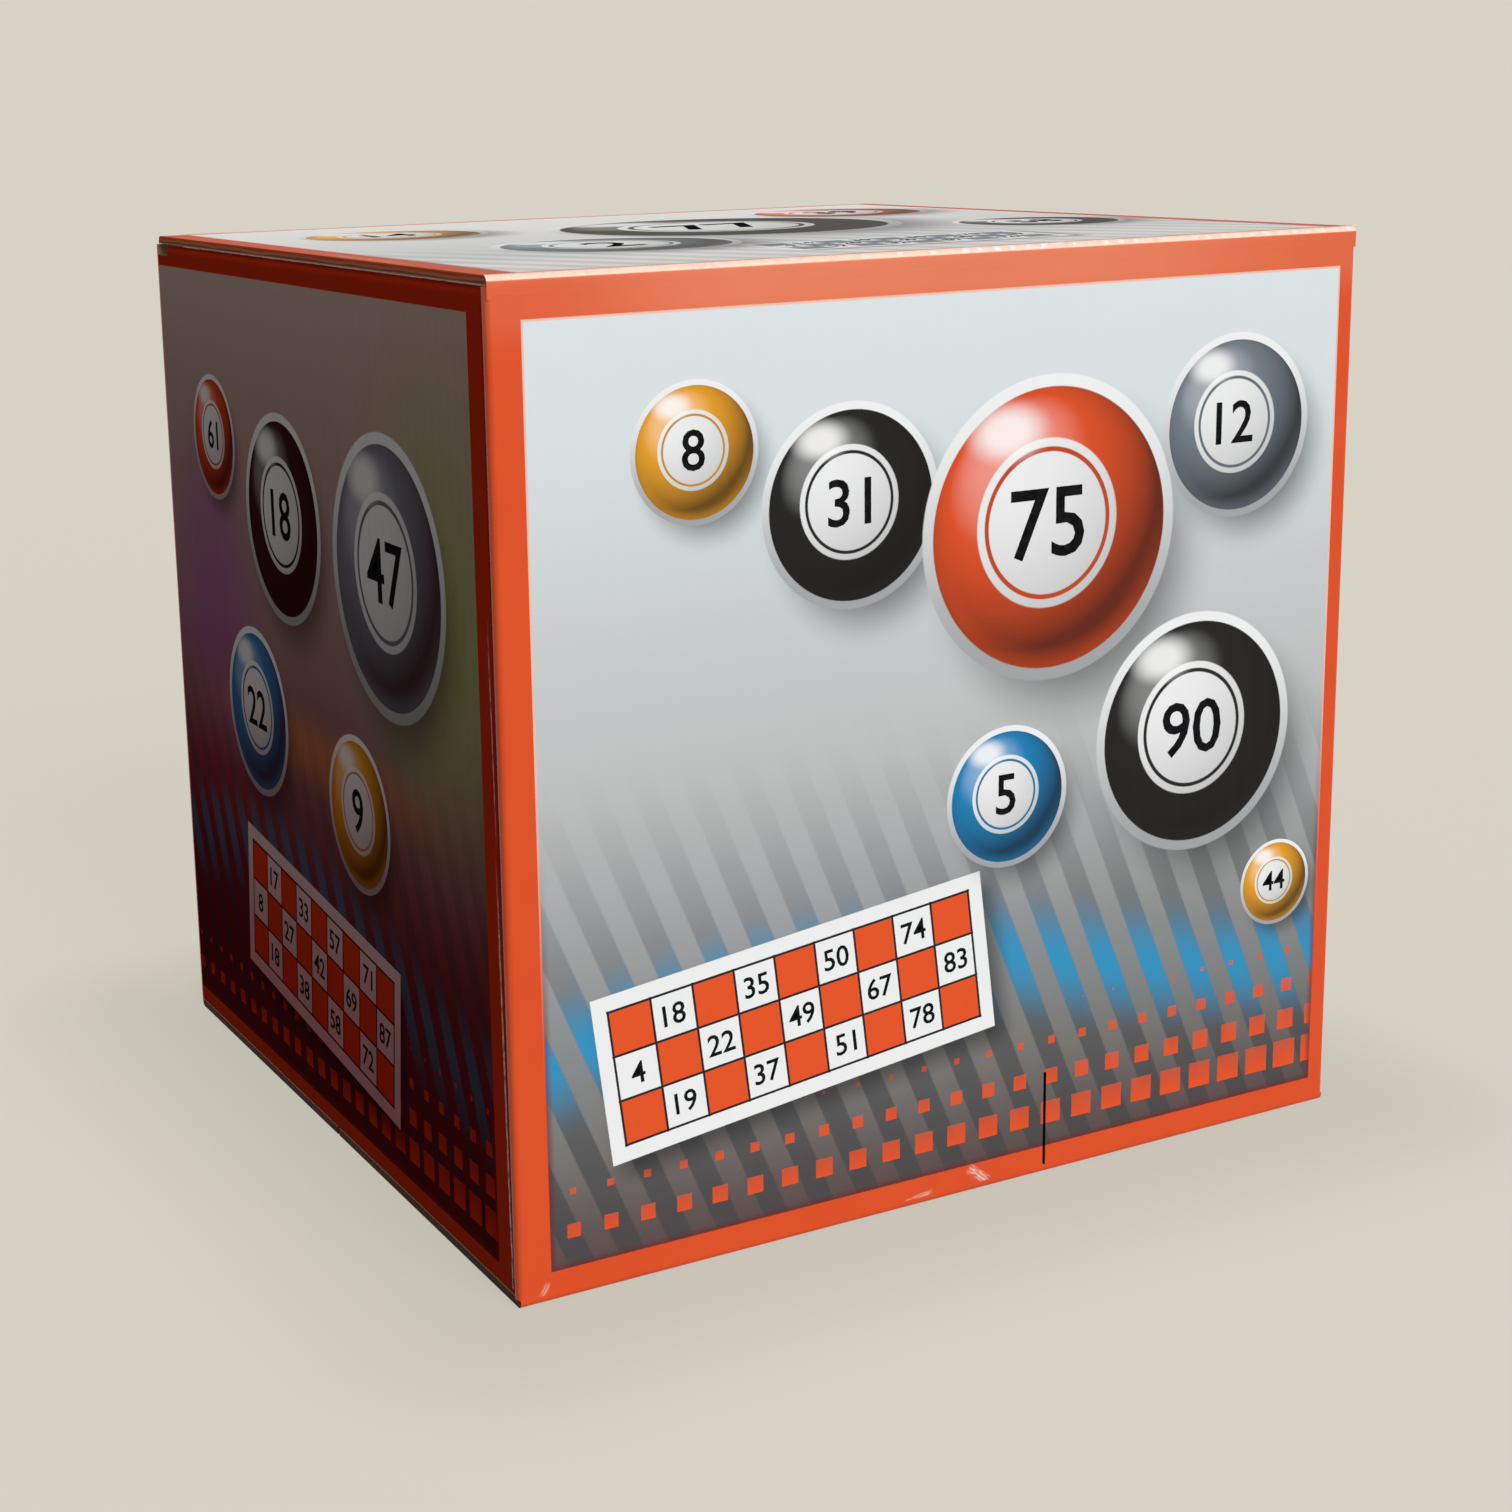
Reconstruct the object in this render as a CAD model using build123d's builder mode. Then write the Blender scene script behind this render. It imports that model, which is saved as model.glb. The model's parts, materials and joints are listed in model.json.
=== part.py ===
"""Boxed bingo game: a tuck-top carton that holds a wire ball cage on its stand,
ninety balls, a banded stack of cards and a bag of marker chips.

Frame: origin at the centre of the carton's underside, +X to the right along the front
face, +Y from the front face to the back, +Z up. Millimetres.
"""

import os
from math import atan2, ceil, cos, degrees, hypot, radians, sin, sqrt, tan

from build123d import *

os.makedirs("parts", exist_ok=True)

# Carton: board, folds and seams
board = 2.0
fold_round = 1.5
crease_gap = 0.3
flap_side_gap = 0.5
base_seam = 1.0
minor_seam = 9.0

# Carton: lid, tuck flap and dust flaps
lid_gap = 0.8
lid_side_gap = 0.3
tuck_clear = 0.5
tuck_depth = 25.0
tuck_lean = 5.0
tuck_corner = 12.0
tuck_side_gap = 4.0
dust_length = 70.0
dust_front_gap = 5.0
dust_back_gap = 6.0
dust_taper_share = 0.62
dust_corner = 8.0

# Carton: glue tab and the short slit at the foot of the front panel
tab_width = 26.0
tab_end_gap = 12.0
tab_chamfer = 9.0
slit_width = 0.8
slit_height = 24.0
slit_x = 25.8
cut_over = 1.0

# Room between the carton and what it holds
head_room = 7.5
front_room = 4.9
card_room = 5.7
card_end_room = 6.0
stand_room = 5.7
cap_room = 4.0
grip_room = 2.0
bag_front_room = 32.0
bag_stand_room = 5.85
bag_side_room = 3.15

# Wire stock and running fits
wire = 2.6
ring_wire = 2.2
weld_gap = 0.05
run_clear = 0.05
part_gap = 0.3

# Cage: meridian curve of the ring wires, from the belly to the hub
cage_radius = 69.9
belly_round = 80.0
belly_angle = 30.0
shoulder_round = 30.0
shoulder_angle = 78.0
rib_end_radius = 9.0
ring_end_run = 10.14
rings_per_side = 6
rib_count = 6

# Cage hubs and their set screws
hub_plate_radius = 13.5
hub_plate_thick = 1.5
hub_barrel_radius = 7.0
hub_reach = 6.5
screw_radius = 1.5
screw_inset = 2.8
screw_socket_radius = 0.85
screw_socket_depth = 1.6

# Axle, bearing bushes and end cap
axle_radius = 2.5
axle_chamfer = 0.4
bush_gap = 1.5
bush_flange_radius = 8.0
bush_flange_thick = 1.2
bush_barrel_radius = 5.0
cap_gap = 0.6
cap_radius = 5.0
cap_length = 6.0
cap_wall = 1.6
cap_round = 1.2

# Crank arm, nut, washer and pin
washer_gap = 0.6
washer_radius = 5.0
washer_thick = 1.4
arm_thick = 2.5
arm_width = 11.0
arm_edge = 0.4
crank_throw = 28.0
nut_width = 8.0
nut_thick = 3.2
axle_proud = 1.0
pin_radius = 2.0
pin_tail_radius = 3.2
pin_tail_thick = 0.8
pin_head_radius = 3.6
pin_head_thick = 1.4

# Crank grip
grip_gap = 0.5
grip_length = 48.0
grip_radius = 7.2
grip_neck_radius = 5.8
grip_groove_radius = 0.7
grip_groove_pitch = 3.5
grip_groove_start = 6.0
grip_end_round = 1.2
grip_recess_radius = 4.4
grip_recess_depth = 2.4

# Ball selector on top of the cage
selector_plate = 2.0
selector_half_angle = 19.0
window_clear = 1.5
window_half_angle = 9.5
hood_half_angle = 14.5
hood_margin = 0.9
hood_air = 1.2
hood_wall = 1.8
ring_cut_gap = 0.6

# Stand: room under the turning cage, leg frames and base frame
track_room = 32.9
leg_spread = 54.0
leg_inset = 3.0
leg_corner = 9.0
leg_bend = 20.0
leg_bend_drop = 8.0
eye_wrap = 290.0
base_front_run = 29.0
base_rear_run = 12.0
base_outer_half = 85.0
base_nose = 45.0
base_nose_flat = 3.0
base_rear_round = 14.0

# Ball track
rail_half = 5.0
rail_slope = 6.0
rail_setback = 7.0
rail_tail = 5.0
rail_post_round = 6.0
stop_rise = 15.0
stop_lean = 4.0
stop_round = 4.0
guard_clear = 1.5
guard_rise = 8.0
guard_front_round = 7.0
guard_rear_round = 5.0
cradle_tail = 3.0
cradle_foot_half = 26.0
cradle_crown_half = 14.5
cradle_round = 5.0
front_cradle_y = 0.0
rear_cradle_y = 40.0

# Balls
ball_radius = 8.0
ball_gap = 0.2
balls_in_cage = 87
balls_on_track = 3
ball_step = 3.1

# Cards and their paper band
card_count = 40
card_width = 200.0
card_height = 110.0
card_thick = 0.65
card_air = 0.05
card_corner = 5.0
card_shuffle = 1.0
card_back_gap = 0.6
band_thick = 0.3
band_width = 34.0
band_round = 0.8

# Marker chips in their bag
chip_radius = 8.0
chip_thick = 1.2
chip_air = 0.03
chips_per_roll = 30
rolls_low = 3
roll_gap = 0.2
bag_wall = 0.3
bag_clear = 0.6

# Cage curve, as axial place and radius: belly arc, shoulder arc, straight end to the hub
belly = radians(belly_angle)
shoulder = radians(shoulder_angle)
belly_centre_r = cage_radius - belly_round
shoulder_centre_x = (belly_round - shoulder_round) * sin(belly)
shoulder_centre_r = belly_centre_r + (belly_round - shoulder_round) * cos(belly)
end_start_x = shoulder_centre_x + shoulder_round * sin(shoulder)
end_start_r = shoulder_centre_r + shoulder_round * cos(shoulder)
belly_length = belly_round * belly
bend_length = belly_length + shoulder_round * (shoulder - belly)
curve_length = bend_length + (end_start_r - rib_end_radius) / sin(shoulder)
ring_pitch = (curve_length - ring_end_run) / (rings_per_side - 1 / 2)


def cage_point(length, out=0.0):
    """Point of the cage curve at a length from the belly, moved out by a distance."""
    if length <= belly_length:
        angle = length / belly_round
        reach = belly_round + out
        return reach * sin(angle), belly_centre_r + reach * cos(angle)
    if length <= bend_length:
        angle = belly + (length - belly_length) / shoulder_round
        reach = shoulder_round + out
        return shoulder_centre_x + reach * sin(angle), shoulder_centre_r + reach * cos(angle)
    run = length - bend_length
    radius = end_start_r - run * sin(shoulder) + out * cos(shoulder)
    return end_start_x + run * cos(shoulder) + out * sin(shoulder), radius


def end_x(radius, out):
    """Axial place on the cage's straight end at a radius, moved out by a distance."""
    return end_start_x + (out + (end_start_r - radius) * cos(shoulder)) / sin(shoulder)


def wall_radius(x, inset):
    """Radius of the cage curve, moved in by an inset, at an axial place; zero past it."""
    x = abs(x)
    if x <= (belly_round - inset) * sin(belly):
        return belly_centre_r + sqrt((belly_round - inset) ** 2 - x**2)
    across = x - shoulder_centre_x
    if across <= (shoulder_round - inset) * sin(shoulder):
        return shoulder_centre_r + sqrt((shoulder_round - inset) ** 2 - across**2)
    return 0.0


# Places along the axle, from the middle of the cage
plate_out = ring_wire / 2
plate_in = plate_out - hub_plate_thick
hub_bore = axle_radius + weld_gap
hub_end_x = end_x(hub_barrel_radius, plate_out) + hub_reach
screw_x = hub_end_x - screw_inset
bush_x = hub_end_x + bush_gap
barrel_x = bush_x + bush_flange_thick
barrel_end_x = barrel_x + 2 * wire + 3 * part_gap
bush_end_x = barrel_end_x + bush_flange_thick
washer_x = bush_end_x + washer_gap
arm_x = washer_x + washer_thick + weld_gap
nut_x = arm_x + arm_thick + weld_gap
axle_right = nut_x + nut_thick + axle_proud
cap_x = bush_end_x + cap_gap
axle_left = cap_x + cap_length - cap_wall - part_gap
grip_x = arm_x + arm_thick + grip_gap
grip_end = grip_x + grip_length

# Selector, stand and track sizes that follow the ball, the legs and each other
window_half_width = ball_radius + window_clear
hood_half_width = window_half_width + hood_margin
hood_top = cage_radius + 2 * ball_radius + hood_air
base_front = leg_spread + base_front_run
base_rear = leg_spread + base_rear_run
base_inner_half = base_outer_half - base_nose
leg_foot_half = base_outer_half - leg_inset
rail_front = base_front - rail_setback
rail_rear = rear_cradle_y + rail_tail
guard_half = ball_radius + wire / 2 + guard_clear
cradle_half = base_inner_half + cradle_tail

# Thickness of the pack of cards, width of the bag of chips
pack_thick = card_count * (card_thick + card_air)
roll_length = chips_per_roll * (chip_thick + chip_air)
bag_width = roll_length + 2 * (bag_clear + bag_wall)

# Outer size of the carton, as large as the game, the cards and the bag need
floor_z = 2 * board
axle_z = floor_z + hood_top + track_room
carton_height = axle_z + hood_top + head_room + lid_gap + 2 * board
front_reach = max(hood_top, base_front + wire / 2)
rear_reach = max(hood_top, base_rear + wire / 2)
card_depth = pack_thick + 2 * band_thick + card_back_gap
carton_depth = front_room + front_reach + rear_reach + card_room + card_depth + 2 * board
stand_reach = base_outer_half + wire / 2
left_reach = max(stand_reach + stand_room, cap_x + cap_length + cap_room)
right_reach = max(
    stand_reach + bag_stand_room + bag_width + bag_side_room, grip_end + grip_room
)
carton_width = max(left_reach + right_reach, card_width + 2 * card_end_room) + 2 * board

# Places that follow from the sizes above
half_w = carton_width / 2
half_d = carton_depth / 2
game_x = -half_w + board + left_reach
game_y = -half_d + board + front_room + front_reach
lid_under = carton_height - board
dust_under = lid_under - lid_gap - board
front_top = lid_under - crease_gap
side_top = dust_under - crease_gap
lid_back = half_d - board - tuck_clear
tuck_axis_y = lid_back - board
tuck_axis_z = lid_under - crease_gap / 2
slope = radians(rail_slope)


def save(shape, name):
    """Label one finished piece and write it to its own file."""
    shape.label = name
    export_step(shape, f"parts/{name}.step")


def board_piece(low, high):
    """Centre and size of a flat piece of board between two corners."""
    middle = tuple((a + b) / 2 for a, b in zip(low, high))
    return middle, [b - a for a, b in zip(low, high)]


# Carton walls: front and back run the full width, the side panels stand between them
for side, name in ((-1, "front"), (1, "back")):
    face_y = side * half_d
    inner_y = side * (half_d - board)
    middle, size = board_piece(
        (-half_w, min(face_y, inner_y), board), (half_w, max(face_y, inner_y), front_top)
    )
    with BuildPart() as wide_panel:
        with Locations(middle):
            Box(*size)
        corners = wide_panel.edges().filter_by(Axis.Z).sort_by(Axis.Y)
        fillet(corners[:2] if side < 0 else corners[-2:], fold_round)
        if side < 0:
            with Locations((slit_x, middle[1], board + slit_height / 2 - cut_over / 2)):
                Box(slit_width, board + cut_over, slit_height + cut_over, mode=Mode.SUBTRACT)
    save(wide_panel.part, f"carton_{name}_panel")

for side, name in ((-1, "left"), (1, "right")):
    with BuildPart() as side_panel:
        with BuildSketch(Plane.XY.offset(floor_z)):
            with Locations((side * (half_w - board / 2), 0)):
                Rectangle(board, carton_depth - 2 * board)
        extrude(amount=side_top - floor_z)
    save(side_panel.part, f"carton_{name}_panel")

with BuildPart() as glue_tab:
    tab_back = half_d - board
    tab_low = floor_z + tab_end_gap
    tab_high = side_top - tuck_depth - tab_end_gap
    with BuildSketch(Plane.YZ.offset(half_w - 2 * board)):
        with BuildLine():
            Polyline(
                (tab_back, tab_low),
                (tab_back - tab_width, tab_low + tab_chamfer),
                (tab_back - tab_width, tab_high - tab_chamfer),
                (tab_back, tab_high),
                close=True,
            )
        make_face()
    extrude(amount=board)
save(glue_tab.part, "carton_glue_tab")

# Carton base: outer flaps from the front and back, inner flaps from the sides
for side, name in ((-1, "front"), (1, "back")):
    ends = sorted((side * base_seam / 2, side * half_d))
    middle, size = board_piece(
        (-half_w + flap_side_gap, ends[0], 0), (half_w - flap_side_gap, ends[1], board)
    )
    with BuildPart() as outer_flap:
        with Locations(middle):
            Box(*size)
        rim = outer_flap.edges().filter_by(Axis.X).group_by(Axis.Z)[0]
        fillet(rim.sort_by(Axis.Y)[0 if side < 0 else -1], fold_round)
    save(outer_flap.part, f"carton_base_{name}_flap")

for side, name in ((-1, "left"), (1, "right")):
    ends = sorted((side * minor_seam / 2, side * half_w))
    flap_y = half_d - board - flap_side_gap
    middle, size = board_piece((ends[0], -flap_y, board), (ends[1], flap_y, floor_z))
    with BuildPart() as inner_flap:
        with Locations(middle):
            Box(*size)
        rim = inner_flap.edges().filter_by(Axis.Y).group_by(Axis.Z)[0]
        fillet(rim.sort_by(Axis.X)[0 if side < 0 else -1], fold_round)
    save(inner_flap.part, f"carton_base_{name}_flap")

# Lid, its tuck flap and the two dust flaps
with BuildPart() as lid:
    lid_half = half_w - lid_side_gap
    middle, size = board_piece((-lid_half, -half_d, lid_under), (lid_half, lid_back, carton_height))
    with Locations(middle):
        Box(*size)
    fillet(lid.edges().filter_by(Axis.X).group_by(Axis.Z)[-1], fold_round)
save(lid.part, "carton_lid")

lean = radians(tuck_lean)
tuck_plane = Plane(
    origin=(0, tuck_axis_y, tuck_axis_z), x_dir=(1, 0, 0), z_dir=(0, cos(lean), -sin(lean))
)
with BuildPart() as tuck_flap:
    with BuildSketch(tuck_plane) as tuck_outline:
        with Locations((0, (crease_gap / 2 + tuck_depth) / 2)):
            Rectangle(
                carton_width - 2 * board - 2 * tuck_side_gap, tuck_depth - crease_gap / 2
            )
        fillet(tuck_outline.vertices().group_by(Axis.Y)[-1], tuck_corner)
    extrude(amount=board)
save(tuck_flap.part, "carton_tuck_flap")

for side, name in ((-1, "left"), (1, "right")):
    fold_x = side * half_w
    tip_x = side * (half_w - dust_length)
    front_y = -half_d + board + dust_front_gap
    back_y = tuck_axis_y - dust_back_gap
    with BuildPart() as dust_flap:
        with BuildSketch(Plane.XY.offset(dust_under)) as dust_outline:
            with BuildLine():
                Polyline(
                    (fold_x, front_y),
                    (tip_x, front_y + dust_taper_share * dust_length),
                    (tip_x, back_y),
                    (fold_x, back_y),
                    close=True,
                )
            make_face()
            fillet(dust_outline.vertices().group_by(Axis.X)[-1 if side < 0 else 0], dust_corner)
        extrude(amount=board)
        rim = dust_flap.edges().filter_by(Axis.Y).group_by(Axis.Z)[-1]
        fillet(rim.sort_by(Axis.X)[0 if side < 0 else -1], fold_round)
    save(dust_flap.part, f"carton_{name}_dust_flap")

# Axle line, and the planes across it and along it
axle_centre = (game_x, game_y, axle_z)
axle_axis = Axis(axle_centre, (1, 0, 0))
across_axle = Plane(origin=axle_centre, x_dir=(0, 1, 0), z_dir=(1, 0, 0))
along_axle = Plane(origin=axle_centre, x_dir=(1, 0, 0), z_dir=(0, -1, 0))

# Ring wires: whole rings, and two middle rings that stop at the ball selector
cut_angle = selector_half_angle + degrees(ring_cut_gap / cage_radius)
for number in range(2 * rings_per_side):
    place = (number - rings_per_side + 1 / 2) * ring_pitch
    ring_x, ring_radius = cage_point(abs(place))
    ring_plane = across_axle.offset(ring_x if place > 0 else -ring_x)
    with BuildPart() as ring:
        if abs(place) < ring_pitch:
            with BuildLine(ring_plane) as ring_line:
                CenterArc((0, 0), ring_radius, 90 + cut_angle, 360 - 2 * cut_angle)
            start = ring_line.wires()[0]
            with BuildSketch(Plane(origin=start @ 0, z_dir=start % 0)):
                Circle(ring_wire / 2)
            sweep(path=start)
        else:
            with Locations(ring_plane):
                Torus(ring_radius, ring_wire / 2)
    save(ring.part, f"cage_ring_{number + 1:02d}")

# Rib wires lie on the rings, from hub to hub
rib_out = (ring_wire + wire) / 2 + weld_gap
for number in range(rib_count):
    rib_plane = along_axle.rotated((360 * (number + 1 / 2) / rib_count, 0, 0))
    belly_top = cage_point(0, rib_out)
    belly_end = cage_point(belly_length, rib_out)
    bend_middle = cage_point((belly_length + bend_length) / 2, rib_out)
    bend_end = cage_point(bend_length, rib_out)
    rib_end = cage_point(curve_length, rib_out)
    with BuildPart() as rib:
        with BuildLine(rib_plane) as rib_line:
            Line((-rib_end[0], rib_end[1]), (-bend_end[0], bend_end[1]))
            ThreePointArc(
                (-bend_end[0], bend_end[1]),
                (-bend_middle[0], bend_middle[1]),
                (-belly_end[0], belly_end[1]),
            )
            ThreePointArc((-belly_end[0], belly_end[1]), belly_top, belly_end)
            ThreePointArc(belly_end, bend_middle, bend_end)
            Line(bend_end, rib_end)
        path = rib_line.wires()[0]
        with BuildSketch(Plane(origin=path @ 0, z_dir=path % 0)):
            Circle(wire / 2)
        sweep(path=path)
    save(rib.part, f"cage_rib_{number + 1}")

# Cage hubs: a cone under the rib ends and a barrel with a set screw on the axle
with BuildPart() as set_screws:
    for side in (-1, 1):
        screw_plane = Plane(origin=(game_x + side * screw_x, game_y, axle_z), z_dir=(0, 0, 1))
        with BuildSketch(screw_plane.offset(hub_bore)):
            Circle(screw_radius)
        extrude(amount=hub_barrel_radius - hub_bore)
        with BuildSketch(screw_plane.offset(hub_barrel_radius - screw_socket_depth)):
            RegularPolygon(screw_socket_radius, 6)
        extrude(amount=screw_socket_depth, mode=Mode.SUBTRACT)
save(set_screws.part, "cage_set_screws")

for side, name in ((-1, "left"), (1, "right")):
    with BuildPart() as hub:
        with BuildSketch(along_axle):
            with BuildLine():
                Polyline(
                    (side * end_x(hub_plate_radius, plate_out), hub_plate_radius),
                    (side * end_x(hub_barrel_radius, plate_out), hub_barrel_radius),
                    (side * hub_end_x, hub_barrel_radius),
                    (side * hub_end_x, hub_bore),
                    (side * end_x(hub_bore, plate_in), hub_bore),
                    (side * end_x(hub_plate_radius, plate_in), hub_plate_radius),
                    close=True,
                )
            make_face()
        revolve(axis=axle_axis)
        with BuildSketch(Plane(origin=(game_x + side * screw_x, game_y, axle_z), z_dir=(0, 0, 1))):
            Circle(screw_radius + weld_gap)
        extrude(amount=hub_barrel_radius + cut_over, mode=Mode.SUBTRACT)
    save(hub.part, f"cage_{name}_hub")

# Bearing bushes, gripped by the eyes of both leg frames
bush_bore = axle_radius + run_clear
for side, name in ((-1, "left"), (1, "right")):
    with BuildPart() as bush:
        with BuildSketch(along_axle):
            with BuildLine():
                Polyline(
                    (side * bush_x, bush_bore),
                    (side * bush_x, bush_flange_radius),
                    (side * barrel_x, bush_flange_radius),
                    (side * barrel_x, bush_barrel_radius),
                    (side * barrel_end_x, bush_barrel_radius),
                    (side * barrel_end_x, bush_flange_radius),
                    (side * bush_end_x, bush_flange_radius),
                    (side * bush_end_x, bush_bore),
                    close=True,
                )
            make_face()
        revolve(axis=axle_axis)
    save(bush.part, f"stand_{name}_bush")

# Axle through the whole cage, with a push-on cap at its left end
with BuildPart() as axle:
    with BuildSketch(across_axle.offset(-axle_left)):
        Circle(axle_radius)
    extrude(amount=axle_left + axle_right)
    chamfer(axle.edges(), axle_chamfer)
save(axle.part, "cage_axle")

with BuildPart() as axle_cap:
    with BuildSketch(across_axle.offset(-cap_x - cap_length)):
        Circle(cap_radius)
    extrude(amount=cap_length)
    fillet(axle_cap.edges().sort_by(Axis.X)[0], cap_round)
    with BuildSketch(across_axle.offset(-cap_x - cap_length + cap_wall)):
        Circle(axle_radius + weld_gap)
    extrude(amount=cap_length, mode=Mode.SUBTRACT)
save(axle_cap.part, "axle_cap")

# Crank: washer, flat arm pointing down, hexagon nut, pin and grip
with BuildPart() as washer:
    with BuildSketch(across_axle.offset(washer_x)):
        Circle(washer_radius)
        Circle(axle_radius + weld_gap, mode=Mode.SUBTRACT)
    extrude(amount=washer_thick)
save(washer.part, "crank_washer")

with BuildPart() as crank_arm:
    with BuildSketch(across_axle.offset(arm_x)):
        with Locations((0, -crank_throw / 2)):
            SlotCenterToCenter(crank_throw, arm_width, rotation=90)
        Circle(axle_radius + weld_gap, mode=Mode.SUBTRACT)
        with Locations((0, -crank_throw)):
            Circle(pin_radius + weld_gap, mode=Mode.SUBTRACT)
    extrude(amount=arm_thick)
    rims = crank_arm.edges().filter_by(GeomType.LINE).group_by(Axis.X)
    chamfer(rims[0] + rims[-1], arm_edge)
save(crank_arm.part, "crank_arm")

with BuildPart() as nut:
    with BuildSketch(across_axle.offset(nut_x)):
        RegularPolygon(nut_width / 2, 6, major_radius=False)
        Circle(axle_radius + weld_gap, mode=Mode.SUBTRACT)
    extrude(amount=nut_thick)
save(nut.part, "crank_nut")

pin_centre = (game_x, game_y, axle_z - crank_throw)
pin_axis = Axis(pin_centre, (1, 0, 0))
along_pin = Plane(origin=pin_centre, x_dir=(1, 0, 0), z_dir=(0, -1, 0))
tail_x = arm_x - weld_gap
head_x = grip_end - grip_recess_depth + part_gap
with BuildPart() as pin:
    with BuildSketch(along_pin):
        with BuildLine():
            Polyline(
                (tail_x - pin_tail_thick, 0),
                (tail_x - pin_tail_thick, pin_tail_radius),
                (tail_x, pin_tail_radius),
                (tail_x, pin_radius),
                (head_x, pin_radius),
                (head_x, pin_head_radius),
                (head_x + pin_head_thick, pin_head_radius),
                (head_x + pin_head_thick, 0),
                close=True,
            )
        make_face()
    revolve(axis=pin_axis)
save(pin.part, "crank_pin")

with BuildPart() as grip:
    grip_middle = grip_x + grip_length / 2
    with BuildSketch(along_pin):
        with BuildLine():
            ThreePointArc(
                (grip_x, grip_neck_radius), (grip_middle, grip_radius), (grip_end, grip_neck_radius)
            )
            Polyline(
                (grip_end, grip_neck_radius),
                (grip_end, grip_recess_radius),
                (grip_end - grip_recess_depth, grip_recess_radius),
                (grip_end - grip_recess_depth, pin_radius + run_clear),
                (grip_x, pin_radius + run_clear),
                (grip_x, grip_neck_radius),
            )
        make_face()
    revolve(axis=pin_axis)
    end_faces = grip.faces().filter_by(Axis.X)
    rims = end_faces.edges().filter_by(GeomType.CIRCLE).sort_by(SortBy.RADIUS)[-2:]
    fillet(rims, grip_end_round)
    groove_span = grip_length - 2 * grip_groove_start
    groove_count = int(groove_span / grip_groove_pitch)
    for number in range(groove_count + 1):
        offset_x = (number - groove_count / 2) * grip_groove_pitch
        drop = (grip_radius - grip_neck_radius) * (2 * offset_x / grip_length) ** 2
        groove_plane = Plane(
            origin=(game_x + grip_middle + offset_x, game_y, axle_z - crank_throw),
            z_dir=(1, 0, 0),
        )
        with Locations(groove_plane):
            Torus(grip_radius - drop, grip_groove_radius, mode=Mode.SUBTRACT)
save(grip.part, "crank_grip")

# Ball selector: a curved plate between two rings, with a window and a scoop over it
guard_ring_x = cage_point(3 / 2 * ring_pitch)[0]
selector_half = guard_ring_x - ring_wire / 2 - part_gap
hood_floor = cage_radius + selector_plate
plate_low = belly_round - selector_plate / 2
plate_high = belly_round + selector_plate / 2


def plate_radius(x, reach):
    """Radius of the belly arc of a given round at an axial place."""
    return belly_centre_r + sqrt(reach**2 - x**2)


with BuildPart() as selector:
    start = along_axle.rotated((selector_half_angle, 0, 0))
    with BuildSketch(start):
        with BuildLine():
            low_end = (selector_half, plate_radius(selector_half, plate_low))
            high_end = (selector_half, plate_radius(selector_half, plate_high))
            ThreePointArc(
                (-low_end[0], low_end[1]), (0, plate_radius(0, plate_low)), low_end
            )
            Line(low_end, high_end)
            ThreePointArc(
                high_end, (0, plate_radius(0, plate_high)), (-high_end[0], high_end[1])
            )
            Line((-high_end[0], high_end[1]), (-low_end[0], low_end[1]))
        make_face()
    revolve(axis=axle_axis, revolution_arc=-2 * selector_half_angle)
    start = along_axle.rotated((hood_half_angle, 0, 0))
    with BuildSketch(start):
        with Locations((0, (cage_radius + hood_top) / 2)):
            Rectangle(2 * (hood_half_width + hood_wall), hood_top - cage_radius)
    revolve(axis=axle_axis, revolution_arc=-2 * hood_half_angle)
    shut_angle = hood_half_angle - degrees(hood_wall / hood_top)
    start = along_axle.rotated((hood_half_angle + shut_angle, 0, 0))
    with BuildSketch(start):
        with Locations((0, (hood_floor + hood_top - hood_wall) / 2)):
            Rectangle(2 * hood_half_width, hood_top - hood_wall - hood_floor)
    revolve(axis=axle_axis, revolution_arc=-hood_half_angle - 2 * shut_angle, mode=Mode.SUBTRACT)
    start = along_axle.rotated((window_half_angle, 0, 0))
    with BuildSketch(start):
        with Locations((0, cage_radius)):
            Rectangle(2 * window_half_width, 4 * selector_plate)
    revolve(axis=axle_axis, revolution_arc=-2 * window_half_angle, mode=Mode.SUBTRACT)
save(selector.part, "ball_selector")

# Stand base: one wire on the carton floor with two rounded noses ahead of the cage
base_z = floor_z + wire / 2
cross_z = base_z + wire + weld_gap
inner_end = base_rear - wire / 2 - weld_gap
nose_round = (base_nose - base_nose_flat) / 2
base_points = [
    (-base_inner_half, inner_end),
    (-base_inner_half, -base_front),
    (-base_outer_half, -base_front),
    (-base_outer_half, base_rear),
    (base_outer_half, base_rear),
    (base_outer_half, -base_front),
    (base_inner_half, -base_front),
    (base_inner_half, inner_end),
]
with BuildPart() as base_frame:
    with BuildLine() as base_line:
        FilletPolyline(
            *[(game_x + x, game_y + y, base_z) for x, y in base_points],
            radius=2 * [nose_round] + 2 * [base_rear_round] + 2 * [nose_round],
        )
    path = base_line.wires()[0]
    with BuildSketch(Plane(origin=path @ 0, z_dir=path % 0)):
        Circle(wire / 2)
    sweep(path=path)
save(base_frame.part, "stand_base_frame")

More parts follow.
